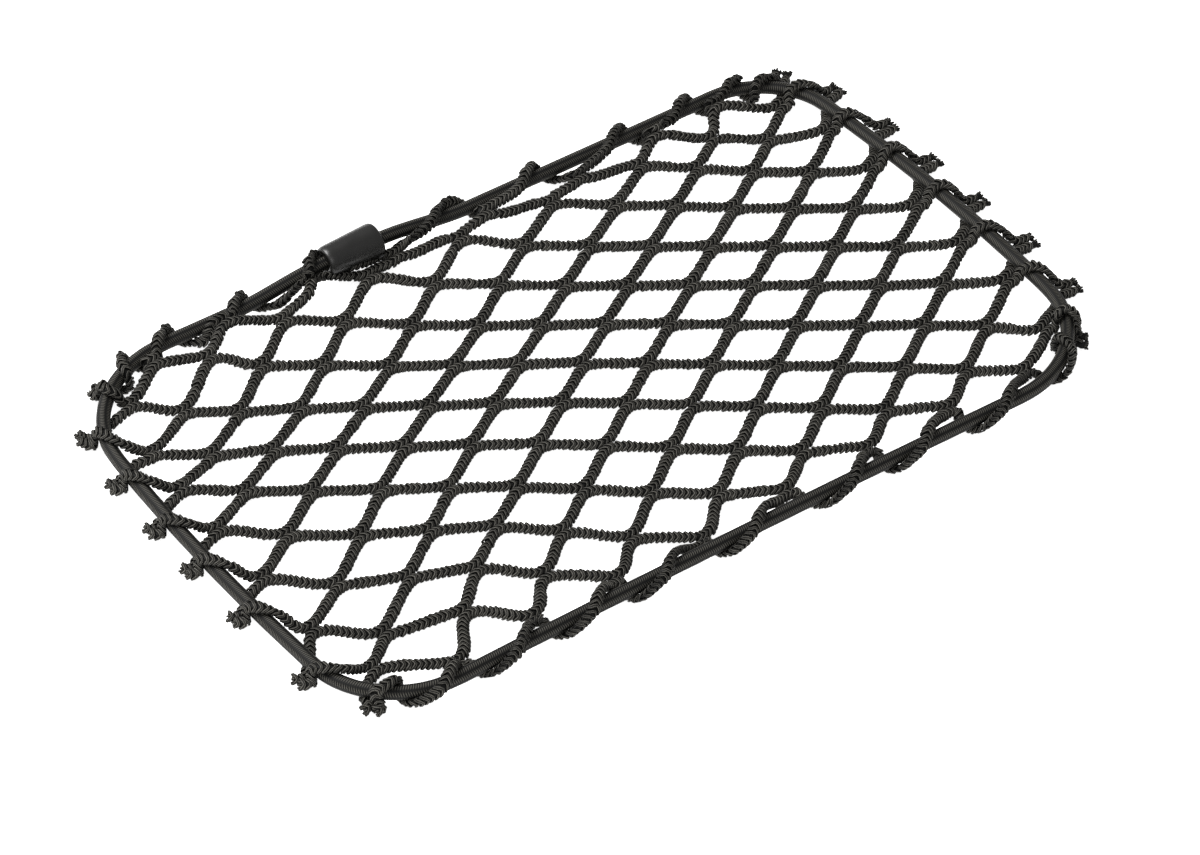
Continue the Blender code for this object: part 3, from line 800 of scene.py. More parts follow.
@dataclass
class Strand:
    """Smooth centreline with a frame that turns with the cord."""

    places: np.ndarray
    ways: np.ndarray
    crowns: np.ndarray
    marks: np.ndarray
    nearness: np.ndarray

    # spacing of the samples, and the share of a span that its curve's handles take
    STEP = 0.35
    HANDLE = 0.30
    # distance from the elastic's centreline up to which the knit turns with it, how far
    # that fades beyond, and how sharply it fades where the cord runs along the elastic
    NEAR = 4.5
    NEAR_FADE = 1.5
    NEAR_POWER = 1.5
    # share of its new direction that the face takes at each sample
    CROWN_PULL = 0.25

    @classmethod
    def through(cls, waypoints: Sequence[Waypoint], rim: Rim) -> "Strand":
        """Lay a smooth centreline through waypoints.

        Args:
            waypoints: points that the cord passes, in order.
            rim: path of the elastic cord, which the strand's face turns round.

        Returns:
            The sampled strand.
        """
        stops = np.array([point.place for point in waypoints])
        ways = cls.stop_ways(waypoints, stops)
        runs = [cls.curve(stops, ways, index) for index in range(len(stops) - 1)]
        dense = np.concatenate(runs + [stops[-1:]])
        marks = running_length(dense)
        even = np.linspace(0.0, marks[-1], int(marks[-1] / cls.STEP) + 1)
        places = read_rows(even, marks, dense)
        flow = unit(np.gradient(places, axis=0))
        gap, index = rim.nearest(places)
        offset = places - rim.places[index]
        radial = unit(rim.outs[index] * gap[:, None] + offset * UP)
        away = np.hypot(gap, offset[:, 2])
        square = np.clip(1.0 - np.sum(radial * flow, axis=1) ** 2, 0.0, 1.0)
        near = (1.0 - smooth((away - cls.NEAR) / cls.NEAR_FADE)) * square ** cls.NEAR_POWER
        return cls(places, flow, cls.turned_crowns(flow, radial, near), even, near)

    @staticmethod
    def stop_ways(waypoints: Sequence[Waypoint], stops: np.ndarray) -> np.ndarray:
        """Direction at each waypoint: its own, or that of the circle through its neighbours.

        Args:
            waypoints: points that the cord passes, in order.
            stops: their places.

        Returns:
            Unit directions.
        """
        spans = np.diff(stops, axis=0)
        sizes = np.linalg.norm(spans, axis=1, keepdims=True)
        headings = spans / sizes
        middle = unit(headings[:-1] * sizes[1:] + headings[1:] * sizes[:-1])
        ways = np.concatenate((headings[:1], middle, headings[-1:]))
        for index, point in enumerate(waypoints):
            if point.way is not None:
                ways[index] = point.way
        return ways

    @classmethod
    def curve(cls, stops: np.ndarray, ways: np.ndarray, index: int) -> np.ndarray:
        """Samples of the cubic curve that leaves one waypoint for the next.

        Args:
            stops: places of the waypoints.
            ways: their directions.
            index: number of the first of the two.

        Returns:
            Places, without the second waypoint.
        """
        first, last = stops[index], stops[index + 1]
        span = float(np.linalg.norm(last - first))
        handle = cls.HANDLE * span
        share = np.arange(0.0, 1.0, cls.STEP / max(span, cls.STEP))[:, None]
        rest = 1.0 - share
        return (
            rest ** 3 * first
            + 3.0 * rest ** 2 * share * (first + ways[index] * handle)
            + 3.0 * rest * share ** 2 * (last - ways[index + 1] * handle)
            + share ** 3 * last
        )

    @classmethod
    def turned_crowns(cls, flow: np.ndarray, radial: np.ndarray, near: np.ndarray) -> np.ndarray:
        """Direction of the strand's face: up in the open net, square to the elastic beside it.

        Args:
            flow: direction of the strand at each sample.
            radial: direction away from the elastic cord.
            near: 1 on the elastic cord, 0 away from it.

        Returns:
            Unit face directions, square to the strand.
        """
        count = len(flow)
        crowns = np.zeros_like(flow)
        start = int(np.argmin(near + np.abs(np.arange(count) / count - 0.5)))
        for order in (range(start, count), range(start, -1, -1)):
            last = UP
            for index in order:
                beside = radial[index] * math.copysign(1.0, float(radial[index] @ last))
                over = UP * math.copysign(1.0, float(UP @ last))
                crown = beside * near[index] + over * (1.0 - near[index])
                crown = crown * cls.CROWN_PULL + last * (1.0 - cls.CROWN_PULL)
                last = unit(crown - flow[index] * float(crown @ flow[index]))
                crowns[index] = last
        return crowns

    @property
    def length(self) -> float:
        """Length of the strand."""
        return float(self.marks[-1])

    def read(self, marks: np.ndarray) -> tuple[np.ndarray, np.ndarray, np.ndarray]:
        """Read the strand at lengths along it.

        Args:
            marks: lengths, of any shape.

        Returns:
            Places, face directions and leftward directions, with a last axis of 3.
        """
        flat = marks.ravel()
        inside = np.clip(flat, 0.0, self.length)
        places, ways, crowns = (
            read_rows(inside, self.marks, table) for table in (self.places, self.ways, self.crowns)
        )
        ways = unit(ways)
        places = places + ways * (flat - inside)[:, None]
        crowns = unit(crowns - ways * np.sum(crowns * ways, axis=1, keepdims=True))
        lefts = np.cross(crowns, ways)
        return tuple(table.reshape(marks.shape + (3,)) for table in (places, crowns, lefts))

    def near(self, marks: np.ndarray) -> np.ndarray:
        """How close the strand is to the elastic cord at lengths along it: 1 on it, 0 away."""
        return np.interp(marks.ravel(), self.marks, self.nearness).reshape(marks.shape)


@dataclass
class Surface:
    """Points and faces gathered for one mesh."""

    points: list[np.ndarray] = field(default_factory=list)
    faces: list[np.ndarray] = field(default_factory=list)
    layouts: list[np.ndarray] = field(default_factory=list)
    count: int = 0

    def add(self, points: np.ndarray, *faces: tuple[np.ndarray, np.ndarray]) -> None:
        """Add points and their faces.

        Args:
            points: points, one a row.
            faces: point numbers and each corner's (along, round) place, by size of face.
        """
        for numbers, layout in faces:
            self.faces.append(numbers + self.count)
            self.layouts.append(layout)
        self.points.append(points)
        self.count += len(points)

    def add_tubes(self, rings: np.ndarray, along: np.ndarray) -> None:
        """Add closed tubes of one build.

        Args:
            rings: points by tube, ring, side and axis.
            along: each ring's place on its tube, in mm or as a share, by tube and ring.
        """
        tubes, stops, sides, _ = rings.shape
        numbers = np.arange(tubes * stops * sides).reshape(tubes, stops, sides)
        after = np.roll(numbers, -1, axis=2)
        quads = np.stack((numbers[:, :-1], numbers[:, 1:], after[:, 1:], after[:, :-1]), axis=-1)
        share = (np.arange(sides + 1) + 0.5) / sides
        near, far = along[:, :-1, None], along[:, 1:, None]
        low, high = share[None, None, :-1], share[None, None, 1:]
        corners = ((near, low), (far, low), (far, high), (near, high))
        layout = np.stack(
            [np.stack(np.broadcast_arrays(*corner), axis=-1) for corner in corners], axis=-2
        )
        caps = []
        for cap, ring in ((numbers[:, 0], 0), (numbers[:, -1][:, ::-1], -1)):
            caps.append((cap, np.stack(np.broadcast_arrays(along[:, ring, None], share[:-1]), axis=-1)))
        self.add(rings.reshape(-1, 3), (quads.reshape(-1, 4), layout.reshape(-1, 4, 2)), *caps)

    def made(self, name: str, material: bpy.types.Material) -> bpy.types.Object:
        """Make the object of the gathered mesh.

        Args:
            name: name of the piece.
            material: its material.

        Returns:
            The object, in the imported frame.
        """
        points = (np.concatenate(self.points) - BOX_MIDDLE) * MM
        sizes = np.concatenate([np.full(len(faces), faces.shape[1]) for faces in self.faces])
        corners = np.concatenate([faces.ravel() for faces in self.faces])
        layout = np.concatenate([layout.reshape(-1, 2) for layout in self.layouts])
        starts = np.concatenate(([0], np.cumsum(sizes)[:-1]))
        mesh = bpy.data.meshes.new(name)
        mesh.vertices.add(len(points))
        mesh.loops.add(len(corners))
        mesh.polygons.add(len(sizes))
        mesh.vertices.foreach_set("co", points.astype(np.float32).ravel())
        mesh.loops.foreach_set("vertex_index", corners.astype(np.int32))
        mesh.polygons.foreach_set("loop_start", starts.astype(np.int32))
        mesh.polygons.foreach_set("loop_total", sizes.astype(np.int32))
        mesh.uv_layers.new(name="lay").data.foreach_set("uv", layout.astype(np.float32).ravel())
        mesh.update(calc_edges=True)
        mesh.validate()
        mesh.shade_smooth()
        mesh.materials.append(material)
        LOG.info("%s: %d triangles", name, int(np.sum(sizes - 2)))
        return placed(name, mesh)


# --- finishes ---

# node settings and rows that the finishes share
MULTIPLY = {"operation": "MULTIPLY"}
MULTIPLY_ADD = {"operation": "MULTIPLY_ADD"}
PINGPONG = {"operation": "PINGPONG"}
SMOOTHSTEP = {"interpolation_type": "SMOOTHSTEP"}
# the mesh's own layout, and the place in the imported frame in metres
LAYOUT_ROWS = [("lay", "UVMap", {"uv_map": "lay"}, {}, {}), ("parts", "SeparateXYZ", {}, {}, {0: "lay"})]
PLACE_ROW = ("place", "TexCoord", {}, {}, {})
PLACE_LINK = {"Vector": "place.Object"}


@dataclass(frozen=True)
class Finish:
    """Finish without metal: a colour between two shades, over a fine relief."""

    name: str
    shade: str
    light: str
    roughness: float
    ior: float
    specular: float
    relief_mm: float
    relief_strength: float
    # labels of the rows that give the relief's height and, where it varies, the roughness
    relief_from: str = "height"
    roughness_from: str = ""

    def rows(self) -> list[tuple[Any, ...]]:
        """Nodes of the pattern, where the row "blend" mixes the two shades."""
        raise NotImplementedError

    def material(self) -> bpy.types.Material:
        """Make the material from its rows.

        A row is (label, kind, settings, values, links). A link names its source by label, or
        as label.output where it isn't the first output.

        Returns:
            The material.
        """
        shades = {"A": to_linear(self.shade), "B": to_linear(self.light)}
        relief = {"Strength": self.relief_strength, "Distance": self.relief_mm * MM}
        surface = {"Roughness": self.roughness, "IOR": self.ior, "Specular IOR Level": self.specular}
        inputs = {"Base Color": "tone.Result", "Normal": "bump"}
        if self.roughness_from:
            inputs["Roughness"] = self.roughness_from
        shared = [
            ("tone", "Mix", {"data_type": "RGBA"}, shades, {"Factor": "blend"}),
            ("bump", "Bump", {}, relief, {"Height": self.relief_from}),
            ("shader", "BsdfPrincipled", {}, surface, inputs),
            ("output", "OutputMaterial", {}, {}, {"Surface": "shader"}),
        ]
        result = bpy.data.materials.new(self.name)
        result.use_nodes = True
        result.node_tree.nodes.clear()
        made: dict[str, bpy.types.Node] = {}
        for label, kind, settings, values, sources in self.rows() + shared:
            links = {}
            for name, source in sources.items():
                origin, _, output = source.partition(".")
                links[name] = made[origin].outputs[output or 0]
            made[label] = add_node(result.node_tree, f"ShaderNode{kind}", settings, values, links)
        return result


@dataclass(frozen=True)
class KnittedPolyester(Finish):
    """Textured polyester multifilament, dyed black in the melt and knitted.

    Each stitch is drawn by two yarns side by side. Their thin bright lines are painted highlights
    on the yarns' crests, and the dark pits between the stitches show the cord's body, painted
    darker as shade.
    """

    name: str = "knitted_textured_polyester"
    # shade is the painted shade of flanks, grooves and face edges, light the painted highlight on the
    # crests
    shade: str = "#040404"
    light: str = "#62605a"
    roughness: float = 0.6
    ior: float = 1.57
    specular: float = 0.12
    relief_mm: float = 0.16
    relief_strength: float = 0.8
    # yarns laid side by side in a stitch: two of these four show, the others lie behind
    bundles: float = 4.0
    start: float = 0.75
    # blotches show how tightly each stitch is drawn, the fibre is its loose ends
    blotch_mm: float = 1.2
    fibre_mm: float = 0.15
    fibre_share: float = 0.35

    def rows(self) -> list[tuple[Any, ...]]:
        """Nodes of the stitches.

        The layout's X is the share of the way across the cord's face and its Y the share
        of the turn round the yarn. The colour paints light and shade: a painted highlight on
        each yarn's crest with painted shade on its flanks, a stitch painted brightest in the
        middle of the face and painted darker where it dives in at its edges, and painted
        shade in the grooves between the yarns of a stitch.

        Returns:
            The rows.
        """
        blotches = {"Scale": 1.0 / (self.blotch_mm * MM), "Detail": 2.0}
        fibres = {"Scale": 1.0 / (self.fibre_mm * MM), "Detail": 1.0}
        middle = {"From Min": 0.12, "From Max": 0.42, "To Min": 0.30}
        return LAYOUT_ROWS + [
            PLACE_ROW,
            ("phase", "Math", MULTIPLY_ADD, {1: self.bundles, 2: self.start}, {0: "parts.Y"}),
            ("turns", "Math", MULTIPLY, {1: math.tau}, {0: "phase"}),
            ("wave", "Math", {"operation": "SINE"}, {}, {0: "turns"}),
            ("ridge", "MapRange", {}, {"From Min": -0.5}, {"Value": "wave"}),
            # painted highlight on each yarn's crest, painted shade on its flanks
            ("side", "Math", PINGPONG, {1: 0.5}, {0: "parts.Y"}),
            ("crest", "MapRange", SMOOTHSTEP, {"From Min": 0.20, "From Max": 0.40}, {"Value": "side"}),
            # painted light: a stitch is painted brightest in the middle of the cord's face and darker at
            # its edges
            ("across", "Math", PINGPONG, {1: 0.5}, {0: "parts.X"}),
            ("painted_face_light", "MapRange", SMOOTHSTEP, middle, {"Value": "across"}),
            ("blotches", "TexNoise", {}, blotches, PLACE_LINK),
            ("worn", "MapRange", {}, {"To Min": 0.15, "To Max": 1.65}, {"Value": "blotches.Fac"}),
            # painted shade in the grooves between the yarns of a stitch; the same ridge also raises the
            # bump
            ("painted_groove_shade", "MapRange", {}, {"To Min": 0.03}, {"Value": "ridge"}),
            ("top", "Math", MULTIPLY, {}, {0: "crest", 1: "painted_face_light"}),
            # painted light and shade, its strength varied by the random blotches
            ("painted_light", "Math", MULTIPLY, {}, {0: "top", 1: "worn"}),
            ("blend", "Math", {**MULTIPLY, "use_clamp": True}, {}, {0: "painted_light", 1: "painted_groove_shade"}),
            ("fibre", "TexNoise", {}, fibres, PLACE_LINK),
            ("height", "Math", MULTIPLY_ADD, {1: self.fibre_share}, {0: "fibre.Fac", 2: "ridge"}),
        ]


@dataclass(frozen=True)
class BraidedPolyester(Finish):
    """Polyester yarn braided in narrow ribs over latex, under tension.

    Its short slanted floats show as fine ticks in rows, with painted highlights on the ticks and painted
    shade between the rows.
    """

    name: str = "braided_polyester_jacket"
    # shade is the painted shade between the rows and light the painted highlight on the ticks
    shade: str = "#040404"
    light: str = "#4e4c46"
    roughness: float = 0.65
    ior: float = 1.57
    specular: float = 0.15
    relief_mm: float = 0.10
    relief_strength: float = 0.7
    relief_from: str = "blend"
    pitch_mm: float = 0.9
    ribs: float = 6.0
    slant: float = 0.9

    def rows(self) -> list[tuple[Any, ...]]:
        """Nodes of the braid: the layout's X runs in mm along the cord, its Y once round it."""
        return LAYOUT_ROWS + [
            ("ribs", "Math", MULTIPLY, {1: self.ribs}, {0: "parts.Y"}),
            ("fold", "Math", PINGPONG, {1: 1.0}, {0: "ribs"}),
            ("slant", "Math", MULTIPLY, {1: self.slant}, {0: "fold"}),
            ("phase", "Math", MULTIPLY_ADD, {1: 1.0 / self.pitch_mm}, {0: "parts.X", 2: "slant"}),
            ("turns", "Math", MULTIPLY, {1: math.tau}, {0: "phase"}),
            ("wave", "Math", {"operation": "SINE"}, {}, {0: "turns"}),
            # painted highlight on each tick; the same factor also raises the bump
            ("tick", "MapRange", {}, {"From Min": -0.1, "From Max": 0.9}, {"Value": "wave"}),
            # painted shade in the grooves between the ribs
            ("rib_turns", "Math", MULTIPLY, {1: math.tau}, {0: "ribs"}),
            ("rib_wave", "Math", {"operation": "COSINE"}, {}, {0: "rib_turns"}),
            ("rib", "MapRange", {}, {"From Min": 1.0, "From Max": -0.6}, {"Value": "rib_wave"}),
            ("blend", "Math", MULTIPLY, {}, {0: "tick", 1: "rib"}),
        ]


@dataclass(frozen=True)
class MouldedNylon(Finish):
    """Black nylon, injection moulded in a lightly spark-eroded tool.

    The fine grain spreads the light into one soft band along the sleeve.
    """

    name: str = "moulded_black_nylon"
    shade: str = "#090908"
    light: str = "#100f0d"
    roughness: float = 0.36
    ior: float = 1.53
    specular: float = 0.5
    relief_mm: float = 0.015
    relief_strength: float = 0.5
    roughness_from: str = "rough"
    grain_mm: float = 0.12
    # clouds where handling wear has evened the grain
    cloud_mm: float = 4.0

    def rows(self) -> list[tuple[Any, ...]]:
        """Nodes of the moulded grain and of its wear."""
        clouds = {"Scale": 1.0 / (self.cloud_mm * MM), "Detail": 3.0}
        wear = {"To Min": self.roughness - 0.06, "To Max": self.roughness + 0.08}
        return [
            PLACE_ROW,
            ("height", "TexNoise", {}, {"Scale": 1.0 / (self.grain_mm * MM), "Detail": 2.0}, PLACE_LINK),
            ("blend", "TexNoise", {}, clouds, PLACE_LINK),
            ("rough", "MapRange", {}, wear, {"Value": "blend.Fac"}),
        ]


@dataclass(frozen=True)
class OpalAcrylic:
    """White opal acrylic table, lit a little from below, which washes out soft shadows."""

    name: str = "opal_acrylic_table"
    shade: str = "#f4f4f2"
    roughness: float = 0.75
    glow: float = 0.8

    def material(self) -> bpy.types.Material:
        """Make the material.

        Returns:
            The material.
        """
        result = bpy.data.materials.new(self.name)
        result.use_nodes = True
        inputs = result.node_tree.nodes["Principled BSDF"].inputs
        inputs["Base Color"].default_value = to_linear(self.shade)
        inputs["Roughness"].default_value = self.roughness
        inputs["Emission Color"].default_value = (1.0, 1.0, 1.0, 1.0)
        inputs["Emission Strength"].default_value = self.glow
        return result


# --- sub-assemblies ---


class Face(Enum):
    """Face of a flat knitted cord, as the turn of its middle in degrees."""

    FRONT = 0.0
    BACK = 180.0


def mirrored(half: Sequence[Spot]) -> np.ndarray:
    """Whole stitch from the half between its edge and its middle, which is at 90 degrees."""
    return np.array([*half, *((180.0 - row[0], *row[1:]) for row in reversed(half) if row[0] < 90.0)])


@dataclass
class NetPanel:
    """Knotless net: knitted cords side by side at the nodes, laced on the elastic."""

    layout: NetLayout
    seed: int = 7
    # added to a row's number, which can be negative, to seed its random draws
    seed_shift: int = 20
    pitch: float = 2.1
    core_half_width: float = 1.66
    core_half_thickness: float = 1.12
    core_sides: int = 10
    core_inset: float = 0.3
    # how much wider and thinner the core is pressed on the elastic
    pressed: Plan = (0.04, 0.16)
    # half a stitch on a face, from its edge: turn round the core in degrees, lead along it,
    # and how far the yarn's middle lies outside the core
    stitch: tuple[Spot, ...] = (
        (-48.0, -0.75, 0.15),
        (-18.0, -1.20, 0.42),
        (8.0, -1.10, 0.56),
        (36.0, -0.45, 0.44),
        (62.0, 0.36, 0.36),
        (90.0, 0.86, 0.42),
    )
    # the same with fewer points, for the face that lies on the floor
    plain_stitch: tuple[Spot, ...] = ((-16.0, -1.35, 0.2), (28.0, -0.75, 0.38), (68.0, 0.45, 0.36))
    first_stitch: float = 1.3
    stitch_margin: float = 1.6
    yarn_half_width: float = 0.64
    yarn_half_thickness: float = 0.42
    yarn_sides: int = 5
    plain_yarn_sides: int = 4
    # size of a yarn at a stitch's two ends, where it dives into the cord
    end_taper: float = 0.7
    # spread of the stitches' places, of their skew and of their size
    place_spread: float = 0.1
    skew_spread: float = 0.12
    swell_spread: float = 0.11
    frayed_ends: int = 9
    # tells the random draws of the frays from those of the stitches
    fray_stream: int = 9
    fray_stops: int = 6
    fray_sides: int = 5
    # frays start this far inside the cut, on an ellipse of these half sizes, and spread
    # by these shares of it: at the root, by the tip, and by the tip with a curl of 1
    fray_root: float = 0.9
    fray_ring: Plan = (2.0, 1.1)
    fray_spread: Spot = (0.8, 0.1, 0.7)
    # half size of a fray at its root, what it loses to its tip, and where across a face
    # it is shaded as
    fray_size: float = 0.62
    fray_taper: float = 0.22
    fray_share: float = 0.35
    # what varies from fray to fray: shift round the cord in frays, reach past the cut,
    # curl, lift of the tip and size
    fray_shifts: Plan = (-0.3, 0.3)
    fray_reaches: Plan = (0.1, 0.6)
    fray_curls: Plan = (-0.1, 0.4)
    fray_lifts: Plan = (-0.35, 0.35)
    fray_sizes: Plan = (0.85, 1.15)
    # how far the knit is turned towards the front in the net, in degrees: everywhere, more
    # where a cord runs to the front, and its slow wander
    lay_turn: float = 18.0
    slope_turn: float = -30.0
    wander_turn: float = 9.0
    # waves of the wander: (share, mm a radian, shift from row to row in radians)
    wander_waves: tuple[Spot, ...] = ((1.0, 31.0, 1.7), (0.6, 13.0, 2.9))
    strands: dict[int, Strand] = field(init=False)
    pieces: list[bpy.types.Object] = field(default_factory=list)

    def __post_init__(self) -> None:
        """Lay every cord of the net."""
        layout = self.layout
        self.strands = {
            row: Strand.through(layout.cord_waypoints(row), layout.rim)
            for row in range(layout.first_row, layout.last_row)
        }

    def roll(self, row: int, marks: np.ndarray) -> np.ndarray:
        """Turn of a cord's face about its own axis, in degrees.

        Args:
            row: row of the cord.
            marks: lengths along it.

        Returns:
            Turns of the same shape.
        """
        strand = self.strands[row]
        inside = np.clip(marks.ravel(), 0.0, strand.length)
        slope = np.interp(inside, strand.marks, strand.ways[:, 1]).reshape(marks.shape)
        face = np.interp(inside, strand.marks, strand.crowns[:, 2]).reshape(marks.shape)
        waves = (share * np.sin(marks / run + row * shift) for share, run, shift in self.wander_waves)
        return (self.lay_turn + self.slope_turn * slope) * face + self.wander_turn * sum(waves)

    def section(self, strand: Strand, marks: np.ndarray) -> tuple[np.ndarray, np.ndarray]:
        """Half width and half thickness of the core: pressed flatter on the elastic.

        Args:
            strand: the cord's centreline.
            marks: lengths along it.

        Returns:
            The two half sizes.
        """
        near = strand.near(marks)
        wide = self.core_half_width * (1.0 + self.pressed[0] * near)
        thick = self.core_half_thickness * (1.0 - self.pressed[1] * near)
        return wide, thick

    def add_core(self, surface: Surface, row: int) -> None:
        """Add the body of a cord, which fills the space behind its stitches.

        Args:
            surface: mesh that gets it.
            row: row of the cord.
        """
        strand = self.strands[row]
        rings = int(strand.length / self.pitch) * 2 + 1
        marks = np.linspace(self.core_inset, strand.length - self.core_inset, rings)
        places, crowns, lefts = strand.read(marks)
        halves = tuple(half[:, None] for half in self.section(strand, marks))
        turns = np.radians(self.roll(row, marks))[:, None]
        angles = np.arange(self.core_sides) * math.tau / self.core_sides + turns
        surface.add_tubes(ring_points(places, lefts, crowns, halves, angles)[None], np.zeros((1, rings)))

    def add_stitches(self, surface: Surface, row: int, face: Face, fine: bool) -> None:
        """Add one face's stitches of a cord.

        Args:
            surface: mesh that gets them.
            row: row of the cord.
            face: face of the cord.
            fine: whether to draw them with all their points.
        """
        strand = self.strands[row]
        table = mirrored(self.stitch if fine else self.plain_stitch)
        turns, leads, prouds = table.T
        sides = self.yarn_sides if fine else self.plain_yarn_sides
        random = np.random.default_rng((self.seed, row + self.seed_shift))
        count = int((strand.length - self.stitch_margin) / self.pitch)
        starts = self.first_stitch + np.arange(count) * self.pitch
        starts = starts + random.normal(0.0, self.place_spread, count)
        skew = random.normal(0.0, self.skew_spread, (count, 1)) * np.cos(np.radians(turns))
        marks = starts[:, None] + leads + skew
        swell = 1.0 + random.normal(0.0, self.swell_spread, (count, 1))
        places, crowns, lefts = strand.read(marks)
        wide, thick = self.section(strand, marks)
        angles = np.radians(turns + face.value + self.roll(row, marks))
        across = (wide + prouds * swell) * np.cos(angles)
        rise = (thick + prouds * swell) * np.sin(angles)
        middles = places + lefts * across[..., None] + crowns * rise[..., None]
        away = unit(lefts * (across / wide ** 2)[..., None] + crowns * (rise / thick ** 2)[..., None])
        runs = unit(np.gradient(middles, axis=1))
        away = unit(away - runs * np.sum(away * runs, axis=-1, keepdims=True))
        taper = np.ones(len(table))
        taper[[0, -1]] = self.end_taper
        size = (swell * taper)[..., None]
        halves = (self.yarn_half_width * size, self.yarn_half_thickness * size)
        # side 0 starts under the yarn, so its crest, where the knit paints its highlight, is half way
        # round
        around = (np.arange(sides) + 0.5) * math.tau / sides - math.pi / 2.0
        rings = ring_points(middles, np.cross(runs, away), away, halves, around)
        # the share across the face places the knit's painted light, brightest in the middle of the face
        face_share = (turns - turns[0]) / (turns[-1] - turns[0])
        surface.add_tubes(rings, np.broadcast_to(face_share, (count, len(table))))

    def add_frays(self, surface: Surface, row: int) -> None:
        """Add the loose yarn ends at both cut ends of a cord.

        Args:
            surface: mesh that gets them.
            row: row of the cord.
        """
        strand = self.strands[row]
        random = np.random.default_rng((self.seed, row + self.seed_shift, self.fray_stream))
        share = np.linspace(0.0, 1.0, self.fray_stops)[:, None]
        around = np.arange(self.fray_sides) * math.tau / self.fray_sides
        wide, thick = self.fray_ring
        root, straight, curled = self.fray_spread
        for end, outwards in ((0.0, -1.0), (strand.length, 1.0)):
            place, crown, left = (part[0] for part in strand.read(np.array([end])))
            way = strand.ways[0 if outwards < 0 else -1] * outwards
            for number in range(self.frayed_ends):
                turn = math.tau * (number + random.uniform(*self.fray_shifts)) / self.frayed_ends
                spread = left * math.cos(turn) * wide + crown * math.sin(turn) * thick
                reach = random.uniform(*self.fray_reaches)
                curl = random.uniform(*self.fray_curls)
                lift = random.uniform(*self.fray_lifts)
                middles = (
                    place
                    - way * self.fray_root
                    + spread * (root + curled * curl * share ** 2 + straight * share)
                    + way * (reach + self.fray_root) * share
                    + crown * lift * share ** 2
                )
                runs = unit(np.gradient(middles, axis=0))
                beside = unit(np.cross(runs, crown))
                size = (self.fray_size - self.fray_taper * share) * random.uniform(*self.fray_sizes)
                rings = ring_points(middles, beside, np.cross(beside, runs), (size, size), around)
                surface.add_tubes(rings[None], np.full((1, self.fray_stops), self.fray_share))

    def build(self) -> None:
        """Build the panel's pieces."""
        yarn = KnittedPolyester().material()
        # the cord's body is the same yarn, given darker colours as painted shade behind the stitches
        core_in_painted_shade = KnittedPolyester("knit_core_painted_shade", "#060605", "#1d1c19").material()
        rows = list(self.strands)
        core, frays = Surface(), Surface()
        for row in rows:
            self.add_core(core, row)
            self.add_frays(frays, row)
        self.pieces.append(core.made("net_cord_bodies", core_in_painted_shade))
        groups = (
            ("net_front_stitches", rows[:5], Face.FRONT, True),
            ("net_middle_stitches", rows[5:10], Face.FRONT, True),
            ("net_back_stitches", rows[10:], Face.FRONT, True),
            ("net_under_stitches", rows, Face.BACK, False),
        )
        for name, group, face, fine in groups:
            surface = Surface()
            for row in group:
                self.add_stitches(surface, row, face, fine)
            self.pieces.append(surface.made(name, yarn))
        self.pieces.append(frays.made("net_frayed_ends", yarn))

    def dress(self) -> None:
        for piece in self.pieces:
            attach(piece, "root")
        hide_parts("net_panel")


@dataclass
class ElasticCord:
    """Braided elastic cord, one length whose ends meet in the sleeve."""

    rim: Rim
    ring_step: float = 0.32
    sides: int = 24
    ribs: int = 6
    tick_pitch: float = 0.9
    slant: float = 0.9
    # the yarn's mean depth in the braid, and how proud its ticks and its ribs stand
    braid_depth: float = 0.1
    relief: float = 0.10
    rib_relief: float = 0.08
    end_gap: float = 0.8
    piece: Optional[bpy.types.Object] = None

    def build(self) -> None:
        """Build the jacket with its braid."""
        rim = self.rim
        places, outs = (np.roll(table, -rim.seat(), axis=0) for table in (rim.places, rim.outs))
        places, outs = np.vstack((places, places[:1])), np.vstack((outs, outs[:1]))
        marks = running_length(places)
        half_gap = self.end_gap / 2.0
        wanted = np.linspace(half_gap, marks[-1] - half_gap, int(marks[-1] / self.ring_step))
        middles = read_rows(wanted, marks, places)
        sideways = unit(read_rows(wanted, marks, outs))
        upwards = np.cross(unit(np.gradient(middles, axis=0)), sideways)
        upwards *= np.sign(upwards[:, 2:3])
        share = np.arange(self.sides) / self.sides
        ribs = share * self.ribs
        fold = 1.0 - np.abs(ribs % 2.0 - 1.0)
        rib = 0.5 - 0.5 * np.cos(ribs * math.tau)
        phase = wanted[:, None] / self.tick_pitch + self.slant * fold
        tick = 0.5 + 0.5 * np.sin(phase * math.tau)
        radius = rim.cord_radius - self.braid_depth + self.relief * tick * rib + self.rib_relief * rib
        rings = ring_points(middles, sideways, upwards, (radius, radius), share * math.tau)
        surface = Surface()
        surface.add_tubes(rings[None, :, ::-1], wanted[None])
        braid = BraidedPolyester(pitch_mm=self.tick_pitch, ribs=self.ribs, slant=self.slant)
        self.piece = surface.made("elastic_jacket", braid.material())

    def dress(self) -> None:
        """Join the cord to the frame."""
        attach(self.piece, "root")
        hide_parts("elastic_cord")


